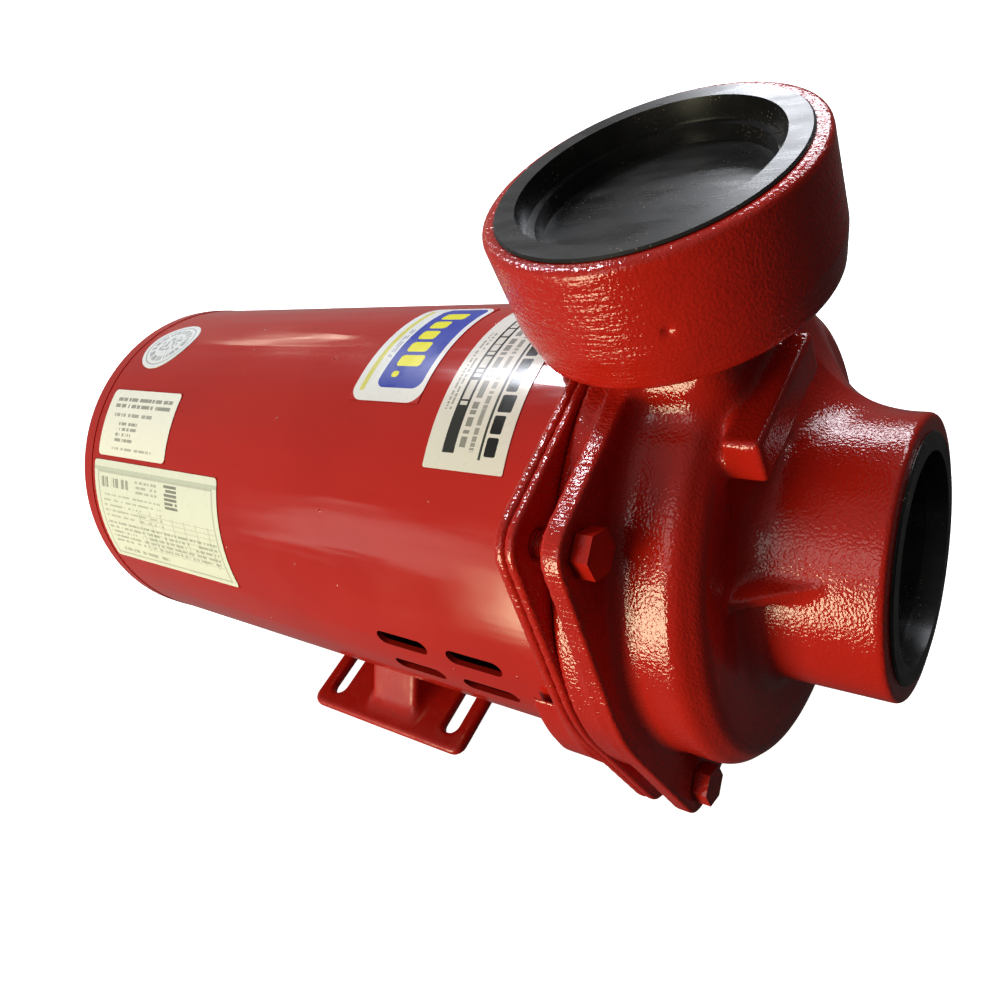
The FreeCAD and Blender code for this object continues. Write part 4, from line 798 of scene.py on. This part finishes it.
def casing_field(x, y, z):
    """The casing: outside less inside, bolt holes with spot faces, drain hole and a dimple."""
    radius = np.hypot(y, z)
    spiral_radius = np.hypot(y - SPIRAL_Y, z)
    boss_radius = np.hypot(x - BOSS_X, y - BOSS_Y)
    radii = (radius, spiral_radius, boss_radius)
    casting = cut(casing_outside(x, y, z, *radii), casing_inside(x, y, z, *radii))
    bolts = bolt_distance(y, z)
    casting = cut(casting, np.maximum(bolts - SPOT_FACE, PLATE_FRONT - x), 1.5)
    casting = cut(casting, np.maximum(bolts - CASING_HOLE, slab(x, 140.0, 176.0)))
    drain = np.maximum(np.hypot(x - 177.0, y - 10.0) - 5.0, slab(z, -96.0, -66.0))
    casting = cut(casting, drain)
    dimple = np.sqrt((x - 189.7) ** 2 + (y + 28.4) ** 2 + (z - 111.8) ** 2) - 1.6
    return cut(casting, dimple, 1.0)


# ---------------------------------------------------------------- end shield, back plate and foot

HUB_BORE, BEARING_SHOULDER = 26.1, 15.5
SHIELD_X = (144.0, 148.0)
BACK_PLATE_X = (148.0, 151.5)
POCKET_RADIUS, SEAT_RADIUS, SHAFT_HOLE, SEAT_BACK = 24.0, 16.1, 10.54, 143.0
LIP_X, LIP_TOP, LIP_BOTTOM = (132.0, 145.0), 4.0, 22.0
LIP_INNER, LIP_OPENING, LIP_OUTER, LIP_GROWTH = 82.6, 1.9, (85.5, 85.0, 90.0), 0.21


def shield_field(x, y, z):
    """Front end shield: lug plate, spigot, web, hub, and a hooked lip on each side."""
    radius = np.hypot(y, z)
    turned = polygon(x, radius, [
        (118.0, HUB_BORE), (134.5, HUB_BORE), (134.5, BEARING_SHOULDER), (137.5, BEARING_SHOULDER),
        (137.5, HUB_BORE), (148.0, HUB_BORE), (148.0, 80.4), (129.0, 80.4), (129.0, 69.0),
        (139.0, 69.0), (139.0, 33.0), (118.0, 33.0)])
    plate = pair(lug_plate(y, z), slab(x, *SHIELD_X), PLATE_EDGE)
    plate = np.maximum(plate, HUB_BORE - radius)
    shield = nearest(turned, plate)
    below = np.degrees(np.arctan2(-z, np.abs(y)))
    start, least, most = LIP_OUTER
    outer = np.clip(start + LIP_GROWTH * (below + LIP_TOP), least, most)
    inner = LIP_INNER + LIP_OPENING * np.clip((3.0 - below) / 5, 0, 1)
    across = np.maximum(radius - outer, inner - radius)
    turn = np.abs(below - (LIP_BOTTOM - LIP_TOP) / 2) - (LIP_BOTTOM + LIP_TOP) / 2
    lip = pair(pair(across, slab(x, *LIP_X), 1.0), turn * math.radians(LIP_OUTER[1]), 1.6)
    shield = nearest(shield, lip, 2.0)
    return cut(shield, bolt_distance(y, z) - SHIELD_HOLE)


def plate_field(x, y, z):
    """Pump back plate with the raised pocket of the seal."""
    radius = np.hypot(y, z)
    plate = pair(lug_plate(y, z), slab(x, *BACK_PLATE_X), PLATE_EDGE)
    pocket = pair(radius - POCKET_RADIUS, slab(x, 140.5, 149.0), 0.6)
    plate = nearest(plate, pocket)
    plate = cut(plate, np.maximum(radius - SEAT_RADIUS, SEAT_BACK - x))
    plate = cut(plate, radius - SHAFT_HOLE)
    return cut(plate, bolt_distance(y, z) - SHIELD_HOLE)


FOOT_PLATE, FOOT_HALF_X, FOOT_HALF_Y, FOOT_CORNER = 5.0, 50.0, 83.5, 6.0
SADDLE_X, SADDLE_HALF_Y, SADDLE_SLOPE = (-13.0, 17.0), 76.5, 0.89
SLOT_X, SLOT_Y, SLOT_HALF_RUN, SLOT_RADIUS = 38.1, 61.9, 9.1, 4.4


def foot_field(x, y, z):
    """Pressed foot: a rounded, slotted plate that swells up into a saddle with sloping ends."""
    height = z + SHAFT_HEIGHT
    across, along = np.abs(x) - FOOT_HALF_X + FOOT_CORNER, np.abs(y) - FOOT_HALF_Y + FOOT_CORNER
    corner = np.hypot(np.maximum(across, 0), np.maximum(along, 0))
    outline = corner + np.minimum(np.maximum(across, along), 0) - FOOT_CORNER
    plate = pair(outline, slab(height, 0.0, FOOT_PLATE), 1.9)
    slope = np.abs(y) - SADDLE_HALF_Y + (height - FOOT_PLATE / 2) * SADDLE_SLOPE
    slope = slope / math.hypot(1, SADDLE_SLOPE)
    saddle = pair(slab(x, *SADDLE_X), np.maximum(slope, slab(height, 1.5, 40.0)), 3.0)
    foot = nearest(plate, saddle, 5.0)
    foot = cut(foot, np.hypot(y, z) - SHELL_RADIUS)
    slot_run = np.maximum(np.abs(np.abs(y) - SLOT_Y) - SLOT_HALF_RUN, 0)
    foot = cut(foot, np.hypot(np.abs(x) - SLOT_X, slot_run) - SLOT_RADIUS, 1.2)
    below = np.maximum(slab(np.abs(y), 47.5, 63.5), height - 14.0)
    return cut(foot, np.maximum(slab(x, -10.0, 14.0), below), 1.0)


edge_paint = flange_paint()
field_piece("casing", "volute_casing", casing_field, casting_paint())
field_piece("shield", "front_end_shield", shield_field, edge_paint)
field_piece("back_plate", "seal_plate", plate_field, edge_paint)
field_piece("foot", "motor_foot", foot_field, foot_paint())

# ---------------------------------------------------------------- finishes of the CAD nodes

FINISHES = {
    shell_paint(): ["motor_shell", "rear_cover"],
    edge_paint: ["rear_end_shield"],
    bolt_paint(): ["casing_bolts", "rear_cover_screws"],
    metal("ground_steel", (0.56, 0.56, 0.57), 0.24): [
        "shaft", "rear_bearing_inner_race", "rear_bearing_outer_race", "rear_bearing_balls",
        "front_bearing_inner_race", "front_bearing_outer_race", "front_bearing_balls",
        "wave_washer", "seal_spring", "impeller_key", "impeller_washer"],
    metal("plated_steel", (0.63, 0.60, 0.52), 0.3): ["tie_bolts"],
    moulded("grey_nylon", (0.075, 0.08, 0.085), 0.45): ["conduit_bush", "cooling_fan"],
    moulded("phenolic", (0.07, 0.035, 0.02), 0.4): ["terminal_board"],
    metal("turned_brass", (0.72, 0.50, 0.20), 0.25): [
        "terminal_studs", "impeller_nut", "drain_plug"],
    laminated("laminations"): ["stator_core", "rotor_core"],
    wound("windings"): ["stator_windings"],
    metal("cast_aluminium", (0.70, 0.71, 0.72), 0.42, (1, 1, 1), 1.6, 0.08): ["rotor_end_rings"],
    moulded("nitrile", (0.02, 0.02, 0.02), 0.6): [
        "water_slinger", "seal_seat_cup", "seal_collar"],
    moulded("seal_ceramic", (0.80, 0.77, 0.70), 0.12, 3, 0.005, 0.93): ["seal_seat"],
    moulded("seal_carbon", (0.03, 0.03, 0.033), 0.22, 2, 0.01): ["seal_face"],
    metal("bare_iron", (0.18, 0.17, 0.16), 0.5, (1, 1, 1), 1.5, 0.2, 0.8): ["impeller"],
    moulded("gasket_sheet", (0.10, 0.12, 0.09), 0.75, 0.8, 0.06): ["casing_gasket"],
    plug_plastic("plug_plastic"): ["suction_plug", "discharge_plug"],
    round_print(): ["round_label"],
    inspection_print(): ["inspection_label"],
    rating_print(): ["rating_plate"],
    sticker_print(): ["dealer_sticker"],
    pump_print(): ["pump_label"],
}
for material, nodes in FINISHES.items():
    for name in nodes:
        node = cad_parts[name]
        node.data.materials.clear()
        node.data.materials.append(material)

# ---------------------------------------------------------------- floor


def make_floor():
    """A plain white floor, in metres, a hair below the foot."""
    mesh = bpy.data.meshes.new("floor")
    reach, drop = 400.0, -0.0003
    square = ((-1, -1), (1, -1), (1, 1), (-1, 1))
    mesh.from_pydata([(x * reach, y * reach, drop) for x, y in square], [], [(0, 1, 2, 3)])
    floor = bpy.data.objects.new("floor", mesh)
    scene.collection.objects.link(floor)
    paint = Paint("floor_paint", (0.9, 0.9, 0.9), 0.7)
    set_inputs(paint.shader, Emission_Color=(1, 1, 1, 1), Emission_Strength=1.0)
    mesh.materials.append(paint.material)
    floor.visible_shadow = floor.visible_diffuse = floor.visible_glossy = False


make_floor()
